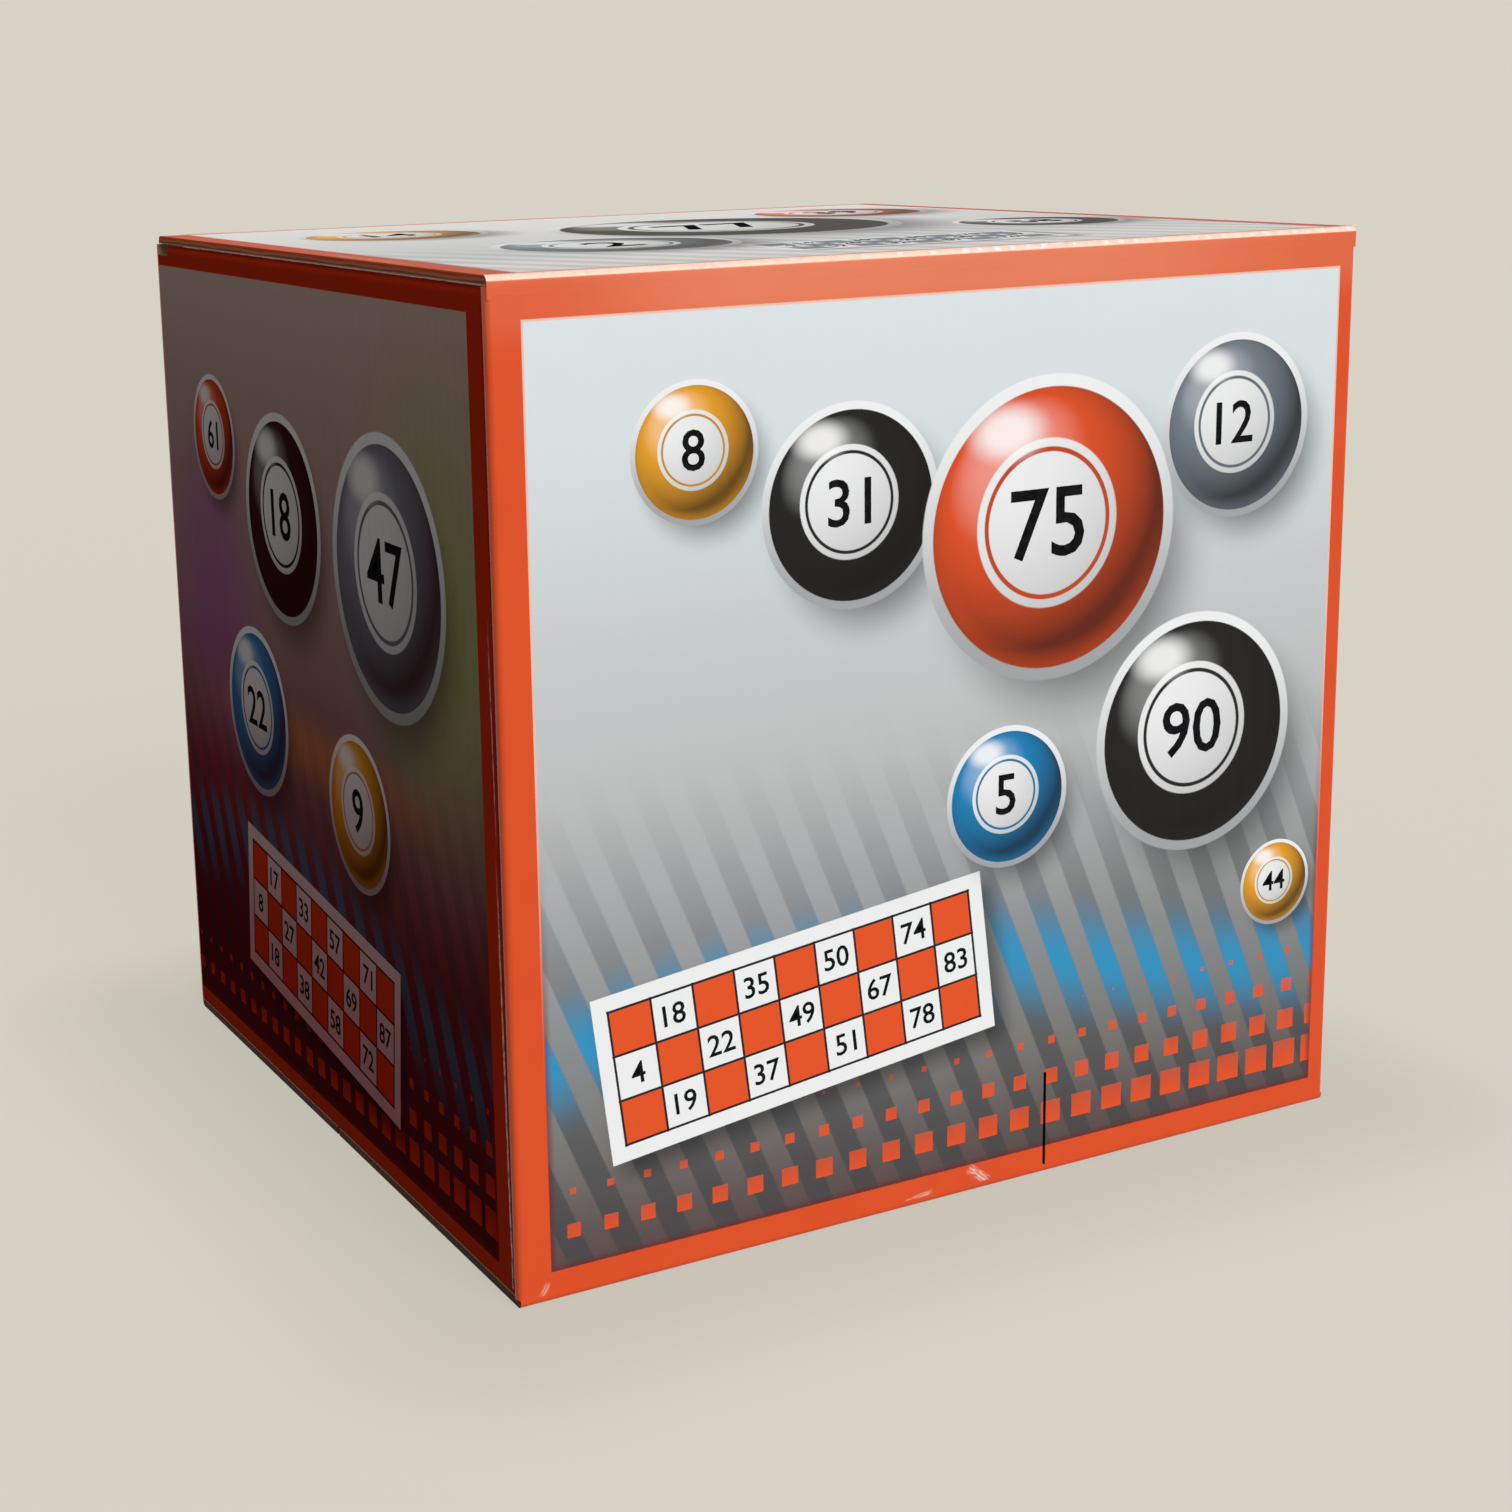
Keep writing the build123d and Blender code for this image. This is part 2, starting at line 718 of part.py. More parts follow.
# Leg frames: each wire runs from eye to eye over a cross run on the base
eye_radius = bush_barrel_radius + weld_gap + wire / 2
inner_eye_x = barrel_x + part_gap + wire / 2
for side, name, eye_x in (
    (-1, "front", inner_eye_x),
    (1, "rear", inner_eye_x + wire + part_gap),
):
    rise = axle_z - cross_z
    span = hypot(leg_spread, rise)
    steep = atan2(rise, leg_spread) + atan2(eye_radius, sqrt(span**2 - eye_radius**2))
    reach = sqrt(span**2 - eye_radius**2)

    def leg_point(along, x):
        """A point on the leg's line, measured up from the foot."""
        y = side * (leg_spread - along * cos(steep))
        return (game_x + x, game_y + y, cross_z + along * sin(steep))

    def eye_point(turn, x):
        """A point of the eye, turned on from where the leg meets it."""
        angle = steep + radians(90 - turn)
        return (
            game_x + x,
            game_y - side * eye_radius * cos(angle),
            axle_z + eye_radius * sin(angle),
        )

    with BuildPart() as leg_frame:
        with BuildLine() as leg_line:
            ThreePointArc(
                eye_point(eye_wrap, -eye_x), eye_point(eye_wrap / 2, -eye_x), eye_point(0, -eye_x)
            )
            FilletPolyline(
                eye_point(0, -eye_x),
                leg_point(reach - leg_bend_drop, -eye_x),
                leg_point(0, -leg_foot_half),
                leg_point(0, leg_foot_half),
                leg_point(reach - leg_bend_drop, eye_x),
                eye_point(0, eye_x),
                radius=[leg_bend, leg_corner, leg_corner, leg_bend],
            )
            ThreePointArc(
                eye_point(0, eye_x), eye_point(eye_wrap / 2, eye_x), eye_point(eye_wrap, eye_x)
            )
        path = leg_line.wires()[0]
        with BuildSketch(Plane(origin=path @ 0, z_dir=path % 0)):
            Circle(wire / 2)
        sweep(path=path)
    save(leg_frame.part, f"stand_{name}_legs")

# Ball track: rails that slope to the front and turn up as the end stop
lap = (wire + weld_gap) / cos(slope)


def rail_z(y):
    """Height of the rails' centre line at a place from the axle's foot."""
    return cross_z + lap + (y + leg_spread) * tan(slope)


def track_points(points):
    """Points given from the axle's foot, with their height in the carton's frame."""
    return [(game_x + x, game_y + y, z) for x, y, z in points]


stop_y = -rail_front - stop_rise * tan(radians(stop_lean))
stop_z = rail_z(-rail_front) + stop_rise
with BuildPart() as rails:
    with BuildLine() as rail_line:
        FilletPolyline(
            *track_points(
                [
                    (-rail_half, rail_rear, rail_z(rail_rear)),
                    (-rail_half, -rail_front, rail_z(-rail_front)),
                    (-rail_half, stop_y, stop_z),
                    (rail_half, stop_y, stop_z),
                    (rail_half, -rail_front, rail_z(-rail_front)),
                    (rail_half, rail_rear, rail_z(rail_rear)),
                ]
            ),
            radius=[rail_post_round, stop_round, stop_round, rail_post_round],
        )
    path = rail_line.wires()[0]
    with BuildSketch(Plane(origin=path @ 0, z_dir=path % 0)):
        Circle(wire / 2)
    sweep(path=path)
save(rails.part, "track_rails")

# Track guard: a wire at ball height round the rails, its rear ends on the rear cradle
post_y = -rail_front - guard_rise * tan(radians(stop_lean))
guard_front = post_y - wire - part_gap
crown_z = rail_z(rear_cradle_y) - lap
guard_foot = crown_z + wire / 2 + weld_gap
guard_rear_z = rail_z(rear_cradle_y) + guard_rise
with BuildPart() as guard:
    with BuildLine() as guard_line:
        FilletPolyline(
            *track_points(
                [
                    (-guard_half, rear_cradle_y, guard_foot),
                    (-guard_half, rear_cradle_y, guard_rear_z),
                    (-guard_half, guard_front, rail_z(guard_front) + guard_rise),
                    (guard_half, guard_front, rail_z(guard_front) + guard_rise),
                    (guard_half, rear_cradle_y, guard_rear_z),
                    (guard_half, rear_cradle_y, guard_foot),
                ]
            ),
            radius=[guard_rear_round, guard_front_round, guard_front_round, guard_rear_round],
        )
    path = guard_line.wires()[0]
    with BuildSketch(Plane(origin=path @ 0, z_dir=path % 0)):
        Circle(wire / 2)
    sweep(path=path)
save(guard.part, "track_guard")

# Track cradles: wires over the base frame with a raised crown under the rails
for name, cradle_y in (("front", front_cradle_y), ("rear", rear_cradle_y)):
    crown = rail_z(cradle_y) - lap
    half_points = [(cradle_half, cross_z), (cradle_foot_half, cross_z), (cradle_crown_half, crown)]
    left_side = [(-x, cradle_y, z) for x, z in half_points]
    right_side = [(x, cradle_y, z) for x, z in reversed(half_points)]
    with BuildPart() as cradle:
        with BuildLine() as cradle_line:
            FilletPolyline(*track_points(left_side + right_side), radius=cradle_round)
        path = cradle_line.wires()[0]
        with BuildSketch(Plane(origin=path @ 0, z_dir=path % 0)):
            Circle(wire / 2)
        sweep(path=path)
    save(cradle.part, f"track_{name}_cradle")

# Balls on the track, against the end stop
seat = ball_radius + wire / 2 + ball_gap / 2
ball_lift = sqrt(seat**2 - rail_half**2)
first_y = post_y + ball_lift
with BuildPart() as track_balls:
    for number in range(balls_on_track):
        ball_y = first_y + number * (2 * ball_radius + ball_gap) * cos(slope)
        foot_y = ball_y + ball_lift * sin(slope)
        with Locations((game_x, game_y + ball_y, rail_z(foot_y) + ball_lift * cos(slope))):
            Sphere(ball_radius)
save(track_balls.part, "balls_on_track")

# Balls in the cage: each lies at the lowest place that the wall and the others leave
inset = ball_radius + ring_wire / 2 + ball_gap
apart = 2 * ball_radius + ball_gap
half_steps = ceil(cage_radius / ball_step)
heights = {}
for column in range(-half_steps, half_steps + 1):
    for row in range(-half_steps, half_steps + 1):
        spot = (column * ball_step, row * ball_step)
        wall = wall_radius(spot[0], inset)
        if wall > abs(spot[1]):
            heights[spot] = -sqrt(wall**2 - spot[1] ** 2)
ceilings = {place: -height for place, height in heights.items()}
with BuildPart() as cage_balls:
    for number in range(balls_in_cage):
        free = [place for place in heights if heights[place] <= ceilings[place]]
        if not free:
            break
        spot = min(free, key=lambda place: (round(heights[place], 3), place))
        lowest = heights[spot]
        with Locations((game_x + spot[0], game_y + spot[1], axle_z + lowest)):
            Sphere(ball_radius)
        for place in heights:
            across = hypot(place[0] - spot[0], place[1] - spot[1])
            if across < apart:
                heights[place] = max(heights[place], lowest + sqrt(apart**2 - across**2))
save(cage_balls.part, "balls_in_cage")

# Cards: a pack on its long edges against the back panel, held by a paper band
pack_back = half_d - board - card_back_gap
card_low = floor_z + band_thick + weld_gap
with BuildPart() as cards:
    for number in range(card_count):
        shift = card_shuffle * sin(number**2)
        card_y = pack_back - band_thick - (number + 1 / 2) * (card_thick + card_air)
        with BuildSketch(Plane.XZ.offset(-card_y)):
            with Locations((shift, card_low + card_height / 2)):
                RectangleRounded(card_width, card_height, card_corner)
        extrude(amount=card_thick / 2, both=True)
save(cards.part, "bingo_cards")

with BuildPart() as band:
    band_y = pack_back - band_thick - pack_thick / 2
    band_deep = pack_thick + 2 * band_thick
    band_high = card_height + 2 * band_thick + 2 * weld_gap
    with BuildSketch(Plane.YZ.offset(-band_width / 2)):
        with Locations((band_y, floor_z + band_high / 2)):
            RectangleRounded(band_deep, band_high, band_round)
            Rectangle(
                band_deep - 2 * band_thick, band_high - 2 * band_thick, mode=Mode.SUBTRACT
            )
    extrude(amount=band_width)
save(band.part, "card_band")

# Marker chips: rolls along X, one row of them on another, in a closed bag
bag_x = half_w - board - bag_side_room - bag_width / 2
roll_pitch = 2 * chip_radius + roll_gap
roll_low_z = floor_z + bag_wall + bag_clear + chip_radius
roll_high_z = roll_low_z + roll_pitch * sin(radians(60))
roll_front_y = -half_d + board + bag_front_room + chip_radius
low_row = [(roll_front_y + n * roll_pitch, roll_low_z) for n in range(rolls_low)]
high_row = [(y + roll_pitch / 2, roll_high_z) for y, z in low_row[:-1]]
with BuildPart() as chips:
    for number in range(chips_per_roll):
        chip_x = bag_x - roll_length / 2 + number * (chip_thick + chip_air)
        with BuildSketch(Plane.YZ.offset(chip_x)):
            with Locations(low_row + high_row):
                Circle(chip_radius)
        extrude(amount=chip_thick)
save(chips.part, "marker_chips")

with BuildPart() as bag:
    corners = [low_row[0], low_row[-1], high_row[-1], high_row[0]]
    bag_half = roll_length / 2 + bag_clear
    with BuildSketch(Plane.YZ.offset(bag_x - bag_half - bag_wall)) as bag_outline:
        with Locations(corners):
            Circle(chip_radius + bag_clear + bag_wall)
        make_hull(bag_outline.edges())
    extrude(amount=2 * (bag_half + bag_wall))
    with BuildSketch(Plane.YZ.offset(bag_x - bag_half)) as room_outline:
        with Locations(corners):
            Circle(chip_radius + bag_clear)
        make_hull(room_outline.edges())
    extrude(amount=2 * bag_half, mode=Mode.SUBTRACT)
save(bag.part, "chip_bag")
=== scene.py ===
import json
from math import cos, pi, radians, sin
from random import Random

import bmesh
import bpy
from mathutils import Euler, Matrix, Vector
from mathutils import noise as fieldNoise
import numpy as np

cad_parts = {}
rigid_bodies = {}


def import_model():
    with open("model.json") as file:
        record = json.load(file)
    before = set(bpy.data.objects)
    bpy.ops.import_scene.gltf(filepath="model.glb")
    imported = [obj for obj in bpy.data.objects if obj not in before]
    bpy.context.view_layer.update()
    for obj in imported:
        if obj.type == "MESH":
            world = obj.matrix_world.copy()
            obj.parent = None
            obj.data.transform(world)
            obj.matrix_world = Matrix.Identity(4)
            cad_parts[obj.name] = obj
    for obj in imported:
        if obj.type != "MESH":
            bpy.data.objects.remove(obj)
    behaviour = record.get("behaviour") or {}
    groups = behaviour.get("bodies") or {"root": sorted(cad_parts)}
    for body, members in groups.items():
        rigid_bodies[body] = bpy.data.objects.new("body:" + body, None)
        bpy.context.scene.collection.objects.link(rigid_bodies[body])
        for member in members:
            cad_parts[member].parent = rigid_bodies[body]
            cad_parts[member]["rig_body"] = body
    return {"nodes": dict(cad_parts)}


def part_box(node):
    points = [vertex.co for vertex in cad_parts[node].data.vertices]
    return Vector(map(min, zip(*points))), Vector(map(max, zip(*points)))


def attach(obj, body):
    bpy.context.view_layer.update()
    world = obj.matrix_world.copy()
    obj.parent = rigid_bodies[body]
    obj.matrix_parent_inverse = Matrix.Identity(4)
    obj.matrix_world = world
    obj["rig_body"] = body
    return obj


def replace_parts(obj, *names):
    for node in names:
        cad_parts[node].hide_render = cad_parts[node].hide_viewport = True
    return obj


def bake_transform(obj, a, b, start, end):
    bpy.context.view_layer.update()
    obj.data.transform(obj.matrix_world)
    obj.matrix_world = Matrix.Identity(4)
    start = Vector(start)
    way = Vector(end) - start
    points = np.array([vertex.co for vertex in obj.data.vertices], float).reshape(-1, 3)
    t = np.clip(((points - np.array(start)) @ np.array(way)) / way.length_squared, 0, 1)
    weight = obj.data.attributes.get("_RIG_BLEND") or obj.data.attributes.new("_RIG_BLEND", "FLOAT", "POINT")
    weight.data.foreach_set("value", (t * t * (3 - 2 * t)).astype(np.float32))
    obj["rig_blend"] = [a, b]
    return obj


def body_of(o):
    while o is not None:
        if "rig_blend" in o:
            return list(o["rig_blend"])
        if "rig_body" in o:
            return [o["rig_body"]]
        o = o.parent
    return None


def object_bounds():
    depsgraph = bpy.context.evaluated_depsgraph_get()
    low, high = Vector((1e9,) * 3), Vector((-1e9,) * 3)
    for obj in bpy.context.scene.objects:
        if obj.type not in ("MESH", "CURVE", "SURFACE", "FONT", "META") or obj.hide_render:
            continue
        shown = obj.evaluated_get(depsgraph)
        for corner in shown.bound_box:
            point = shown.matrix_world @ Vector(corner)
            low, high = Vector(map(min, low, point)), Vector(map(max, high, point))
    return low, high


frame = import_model()
nodes = frame["nodes"]
cadLow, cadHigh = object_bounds()
mm = 0.001
print("frame loaded:", len(nodes), "nodes")


# Screen colour from 0 to 255 as a linear colour
def ink(red, green, blue):
    return tuple(((c / 255 + 0.055) / 1.055) ** 2.4 if c > 10 else c / 3294.6
                 for c in (red, green, blue)) + (1.0,)


# Small helpers that add one node each and give its output
def plug(tree, socket, value):
    if isinstance(value, bpy.types.NodeSocket):
        tree.links.new(value, socket)
    else:
        socket.default_value = value


# New node: values go to its inputs by place or by name, settings to the node itself
def add(tree, kind, values, **settings):
    node = tree.nodes.new(kind)
    for label, value in settings.items():
        setattr(node, label, value)
    for label, value in values.items() if isinstance(values, dict) else enumerate(values):
        plug(tree, node.inputs[label], value)
    return node


def calc(tree, operation, *values, clamp=False):
    return add(tree, "ShaderNodeMath", values, operation=operation, use_clamp=clamp).outputs[0]


def times(tree, first, *others):
    for other in others:
        first = calc(tree, "MULTIPLY", first, other)
    return first


def minus(tree, first, second):
    return calc(tree, "SUBTRACT", first, second)


def absolute(tree, value):
    return calc(tree, "ABSOLUTE", value)


def scaled(tree, value, factor, offset, clamp=False):
    return calc(tree, "MULTIPLY_ADD", value, factor, offset, clamp=clamp)


def vec(tree, operation, *values):
    node = add(tree, "ShaderNodeVectorMath", values, operation=operation)
    return node.outputs["Value" if operation in ("LENGTH", "DOT_PRODUCT", "DISTANCE") else "Vector"]


def stretch(tree, vector, factor):
    values = {0: vector, "Scale": factor}
    return add(tree, "ShaderNodeVectorMath", values, operation="SCALE").outputs["Vector"]


def turned(tree, vector, angle):
    values = {"Vector": vector, "Angle": angle}
    return add(tree, "ShaderNodeVectorRotate", values, rotation_type="Z_AXIS").outputs[0]


# Smooth step from low at start to high at end
def fade(tree, value, start, end, low=0.0, high=1.0):
    return add(tree, "ShaderNodeMapRange", (value, start, end, low, high),
               interpolation_type="SMOOTHSTEP").outputs[0]


def tint(tree, factor, under, over, mode="MIX"):
    values = {"Factor": factor, 6: under, 7: over}
    return add(tree, "ShaderNodeMix", values, data_type="RGBA", blend_type=mode).outputs[2]


def split(tree, vector):
    return add(tree, "ShaderNodeSeparateXYZ", [vector]).outputs


def join(tree, x, y, z=0.0):
    return add(tree, "ShaderNodeCombineXYZ", (x, y, z)).outputs[0]


def noise(tree, point, scale, detail=2.0, roughness=0.5):
    values = {"Vector": point, "Scale": scale, "Detail": detail, "Roughness": roughness}
    return add(tree, "ShaderNodeTexNoise", values).outputs["Fac"]


def ramp(tree, value, stops):
    node = add(tree, "ShaderNodeValToRGB", [value])
    points = node.color_ramp.elements
    while len(points) < len(stops):
        points.new(0.5)
    for point, (place, colour) in zip(points, stops):
        point.position = place
        point.color = colour
    return node.outputs["Color"]


def bump(tree, height, depth):
    return add(tree, "ShaderNodeBump", {"Distance": depth, "Height": height}).outputs["Normal"]


# Object coordinates in millimetres
def objectPoint(tree):
    node = tree.nodes.new("ShaderNodeTexCoord")
    return stretch(tree, node.outputs["Object"], 1000.0)


def surfaceNormal(tree):
    return tree.nodes.new("ShaderNodeTexCoord").outputs["Normal"]


def newMaterial(name, **sockets):
    material = bpy.data.materials.new(name)
    material.use_nodes = True
    tree = material.node_tree
    shader = tree.nodes["Principled BSDF"]
    for socket, value in sockets.items():
        shader.inputs[socket.replace("_", " ")].default_value = value
    return material, tree, shader


# Empty shader group with named inputs; gives the tree, its input and its output sockets
def newGroup(name, inputs):
    tree = bpy.data.node_groups.new(name, "ShaderNodeTree")
    for label, kind in inputs:
        tree.interface.new_socket(label, in_out="INPUT", socket_type="NodeSocket" + kind)
    tree.interface.new_socket("Colour", in_out="OUTPUT", socket_type="NodeSocketColor")
    inside = tree.nodes.new("NodeGroupInput").outputs
    outside = tree.nodes.new("NodeGroupOutput").inputs
    return tree, inside, outside


def useGroup(tree, group, **values):
    values = {label.replace("_", " "): value for label, value in values.items()}
    return add(tree, "ShaderNodeGroup", values, node_tree=group).outputs[0]


def inMm(corners):
    return [corner / mm for corner in corners]


def putInScene(name, data):
    piece = bpy.data.objects.new(name, data)
    bpy.context.scene.collection.objects.link(piece)
    return piece


def meshOf(bm, name):
    mesh = bpy.data.meshes.new(name)
    bm.to_mesh(mesh)
    bm.free()
    return mesh


# Faces between neighbouring rings of points, and on the first and last ring where capped
def bridge(bm, rings, capped=True):
    for near, far in zip(rings, rings[1:]):
        for k in range(len(near)):
            after = (k + 1) % len(near)
            bm.faces.new((near[k], near[after], far[after], far[k]))
    if capped:
        bm.faces.new(reversed(rings[0]))
        bm.faces.new(rings[-1])


# Faces of the carton in mm: lower left corner, right, up, out, width, height
half = Vector((cadHigh.x, cadHigh.y, 0)) / mm
high = cadHigh.z / mm
faces = {
    "front": ((-half.x, -half.y, 0), (1, 0, 0), (0, 0, 1), (0, -1, 0), 2 * half.x, high),
    "left": ((-half.x, half.y, 0), (0, -1, 0), (0, 0, 1), (-1, 0, 0), 2 * half.y, high),
    "right": ((half.x, -half.y, 0), (0, 1, 0), (0, 0, 1), (1, 0, 0), 2 * half.y, high),
    "back": ((half.x, half.y, 0), (-1, 0, 0), (0, 0, 1), (0, 1, 0), 2 * half.x, high),
    "lid": ((-half.x, -half.y, high), (1, 0, 0), (0, 1, 0), (0, 0, 1), 2 * half.x, 2 * half.y),
}

# Printing inks
inks = {
    "border": ink(226, 84, 38),
    "borderDeep": ink(216, 74, 32),
    "borderDark": ink(140, 12, 8),
    "borderPale": ink(252, 186, 148),
    "hairline": ink(240, 206, 190),
    "black": ink(24, 24, 26),
    "white": ink(238, 240, 240),
    "orange": ink(228, 82, 34),
    "blue": ink(22, 132, 190),
    "gold": ink(236, 164, 40),
    "steel": ink(118, 128, 138),
    "paper": ink(232, 230, 224),
    "pure": ink(255, 255, 255),
}


# One printed ball: soft shadow, silver rim, shaded body, white roundel with a ring.
# Lengths are shares of its radius; ranges are start, end and, where given, low and high.
ballLook = {
    "shadowAt": (0.2, -0.26, 0), "shadow": (1.32, 0.62, 0.0, 0.72), "shadowInk": ink(30, 30, 34),
    "rim": (1.095, 1.08), "rimShade": (-1.0, 1.0, 0.32, 1.0),
    "rimDark": ink(96, 100, 104), "rimPale": ink(240, 242, 243),
    "body": (1.006, 0.994), "lightX": -0.36, "lightY": 0.54, "lightDepth": 0.76,
    "shade": (0.95, 0.16), "edge": (0.82, 1.0, 0.0, 0.3), "edgeLow": (0.1, -0.9),
    "lift": (0.75, 1.0, 0.0, 0.22), "markAt": (-0.03, 0.04, 0), "mark": (0.61, 0.595),
    "ringIn": (0.5, 0.512), "ringOut": (0.547, 0.535), "ringDark": 0.35,
    "glintAt": (-0.38, 1.13, 0), "glintSquash": (1.0, 1.6, 1.0), "glint": (0.42, 0.12, 0.0, 0.8),
}


def makeBallGroup():
    look = ballLook
    tree, given, out = newGroup("printedBall", [
        ("Under", "Color"), ("Point", "Vector"), ("Centre", "Vector"), ("Radius", "Float"),
        ("Ball ink", "Color"),
    ])
    rel = stretch(tree, vec(tree, "SUBTRACT", given["Point"], given["Centre"]),
                  calc(tree, "DIVIDE", 1.0, given["Radius"]))
    x, y, _ = split(tree, rel)
    far = vec(tree, "LENGTH", rel)
    shadow = fade(tree, vec(tree, "DISTANCE", rel, look["shadowAt"]), *look["shadow"])
    colour = tint(tree, shadow, given["Under"], look["shadowInk"])
    rimTone = tint(tree, fade(tree, y, *look["rimShade"]), look["rimDark"], look["rimPale"])
    colour = tint(tree, fade(tree, far, *look["rim"]), colour, rimTone)
    flat = minus(tree, 1.0, times(tree, far, far))
    depth = calc(tree, "SQRT", calc(tree, "MAXIMUM", flat, 0.0))
    light = scaled(tree, x, look["lightX"], times(tree, y, look["lightY"]))
    light = scaled(tree, depth, look["lightDepth"], light, clamp=True)
    bounce = times(tree, fade(tree, far, *look["edge"]), fade(tree, y, *look["edgeLow"]))
    shade = calc(tree, "ADD", scaled(tree, light, *look["shade"]), bounce)
    tone = tint(tree, 1.0, given["Ball ink"], join(tree, shade, shade, shade), "MULTIPLY")
    tone = tint(tree, fade(tree, light, *look["lift"]), tone, inks["pure"])
    mark = vec(tree, "DISTANCE", rel, look["markAt"])
    dull = scaled(tree, light, 0.5, 0.5)
    markTone = tint(tree, 1.0, inks["white"], join(tree, dull, dull, dull), "MULTIPLY")
    tone = tint(tree, fade(tree, mark, *look["mark"]), tone, markTone)
    ring = times(tree, fade(tree, mark, *look["ringIn"]), fade(tree, mark, *look["ringOut"]))
    tone = tint(tree, ring, tone, tint(tree, look["ringDark"], given["Ball ink"], inks["black"]))
    glint = vec(tree, "DISTANCE", vec(tree, "MULTIPLY", rel, look["glintSquash"]), look["glintAt"])
    tone = tint(tree, fade(tree, glint, *look["glint"]), tone, inks["pure"])
    plug(tree, out["Colour"], tint(tree, fade(tree, far, *look["body"]), colour, tone))
    return tree


# One number card: three rows of nine cells, every second one inked, on a white card. In cells.
cardLook = {
    "columns": 9, "rows": 3, "border": 0.36, "shadowX": 0.25, "shadowY": -0.3, "shadowReach": 0.8,
    "shadow": 0.7, "shadowInk": ink(28, 28, 32), "line": (0.035, 0.02),
}


# Share of a card's point that lies within half a grid plus a margin, with a soft edge
def withinGrid(tree, acrossX, acrossY, inner, outer):
    halfX, halfY = cardLook["columns"] / 2, cardLook["rows"] / 2
    return times(tree, fade(tree, acrossX, halfX + outer, halfX + inner),
                 fade(tree, acrossY, halfY + outer, halfY + inner))


def makeCardGroup():
    look = cardLook
    tree, given, out = newGroup("printedCard", [
        ("Under", "Color"), ("Point", "Vector"), ("Centre", "Vector"), ("Turn", "Float"),
        ("Cell", "Float"), ("Cell ink", "Color"),
    ])
    rel = turned(tree, vec(tree, "SUBTRACT", given["Point"], given["Centre"]),
                 times(tree, given["Turn"], -1.0))
    x, y, _ = split(tree, stretch(tree, rel, calc(tree, "DIVIDE", 1.0, given["Cell"])))
    acrossX, acrossY = absolute(tree, x), absolute(tree, y)
    shiftX = absolute(tree, minus(tree, x, look["shadowX"]))
    shiftY = absolute(tree, minus(tree, y, look["shadowY"]))
    shadow = withinGrid(tree, shiftX, shiftY, 0.0, look["shadowReach"])
    colour = tint(tree, times(tree, shadow, look["shadow"]), given["Under"], look["shadowInk"])
    card = withinGrid(tree, acrossX, acrossY, look["border"] - 0.01, look["border"] + 0.01)
    colour = tint(tree, card, colour, inks["white"])
    grid = withinGrid(tree, acrossX, acrossY, -0.01, 0.01)
    column = calc(tree, "FLOOR", calc(tree, "ADD", x, look["columns"] / 2))
    row = calc(tree, "FLOOR", calc(tree, "ADD", y, look["rows"] / 2))
    even = calc(tree, "LESS_THAN", calc(tree, "MODULO", calc(tree, "ADD", column, row), 2.0), 0.5)
    colour = tint(tree, times(tree, grid, even), colour, given["Cell ink"])
    lineX = calc(tree, "PINGPONG", calc(tree, "ADD", x, 0.5), 0.5)
    lineY = calc(tree, "PINGPONG", calc(tree, "ADD", y, 0.5), 0.5)
    near = fade(tree, calc(tree, "MINIMUM", lineX, lineY), *look["line"])
    lines = times(tree, withinGrid(tree, acrossX, acrossY, 0.03, 0.04), near)
    plug(tree, out["Colour"], tint(tree, lines, colour, inks["black"]))
    return tree


# Slanted bands with a blue glow, darker towards the foot. Heights in mm.
bandLook = {
    "slant": 0.42, "band": (0.22, 0.28), "foot": (122.0, 36.0), "ink": ink(58, 62, 66),
    "sweepRate": 0.021, "sweep": -11.0, "glow": (19.0, 0.0), "glowBand": (0.93, 0.05),
    "glowInk": ink(32, 150, 200),
}


def makeBandGroup():
    look = bandLook
    tree, given, out = newGroup("printedBands", [
        ("Under", "Color"), ("Point", "Vector"), ("Pitch", "Float"), ("Glow height", "Float"),
        ("Glow", "Float"), ("Depth", "Float"),
    ])
    x, y, _ = split(tree, given["Point"])
    slant = scaled(tree, y, look["slant"], x)
    wave = calc(tree, "PINGPONG", slant, calc(tree, "DIVIDE", given["Pitch"], 2.0))
    band = fade(tree, calc(tree, "DIVIDE", wave, given["Pitch"]), *look["band"])
    dark = times(tree, band, fade(tree, y, *look["foot"]), given["Depth"])
    colour = tint(tree, dark, given["Under"], look["ink"])
    rise = minus(tree, y, given["Glow height"])
    sweep = scaled(tree, calc(tree, "SINE", times(tree, x, look["sweepRate"])), look["sweep"], rise)
    glow = times(tree, fade(tree, absolute(tree, sweep), *look["glow"]),
                 scaled(tree, band, *look["glowBand"]), given["Glow"])
    plug(tree, out["Colour"], tint(tree, glow, colour, look["glowInk"]))
    return tree


# Rows of orange squares that shrink upwards and to the left. Sizes are shares of their pitch.
squareLook = {
    "half": 0.4, "rowLoss": -0.1, "leftLoss": 0.13, "leftReach": 130.0, "fading": (-0.55, 1.12),
}


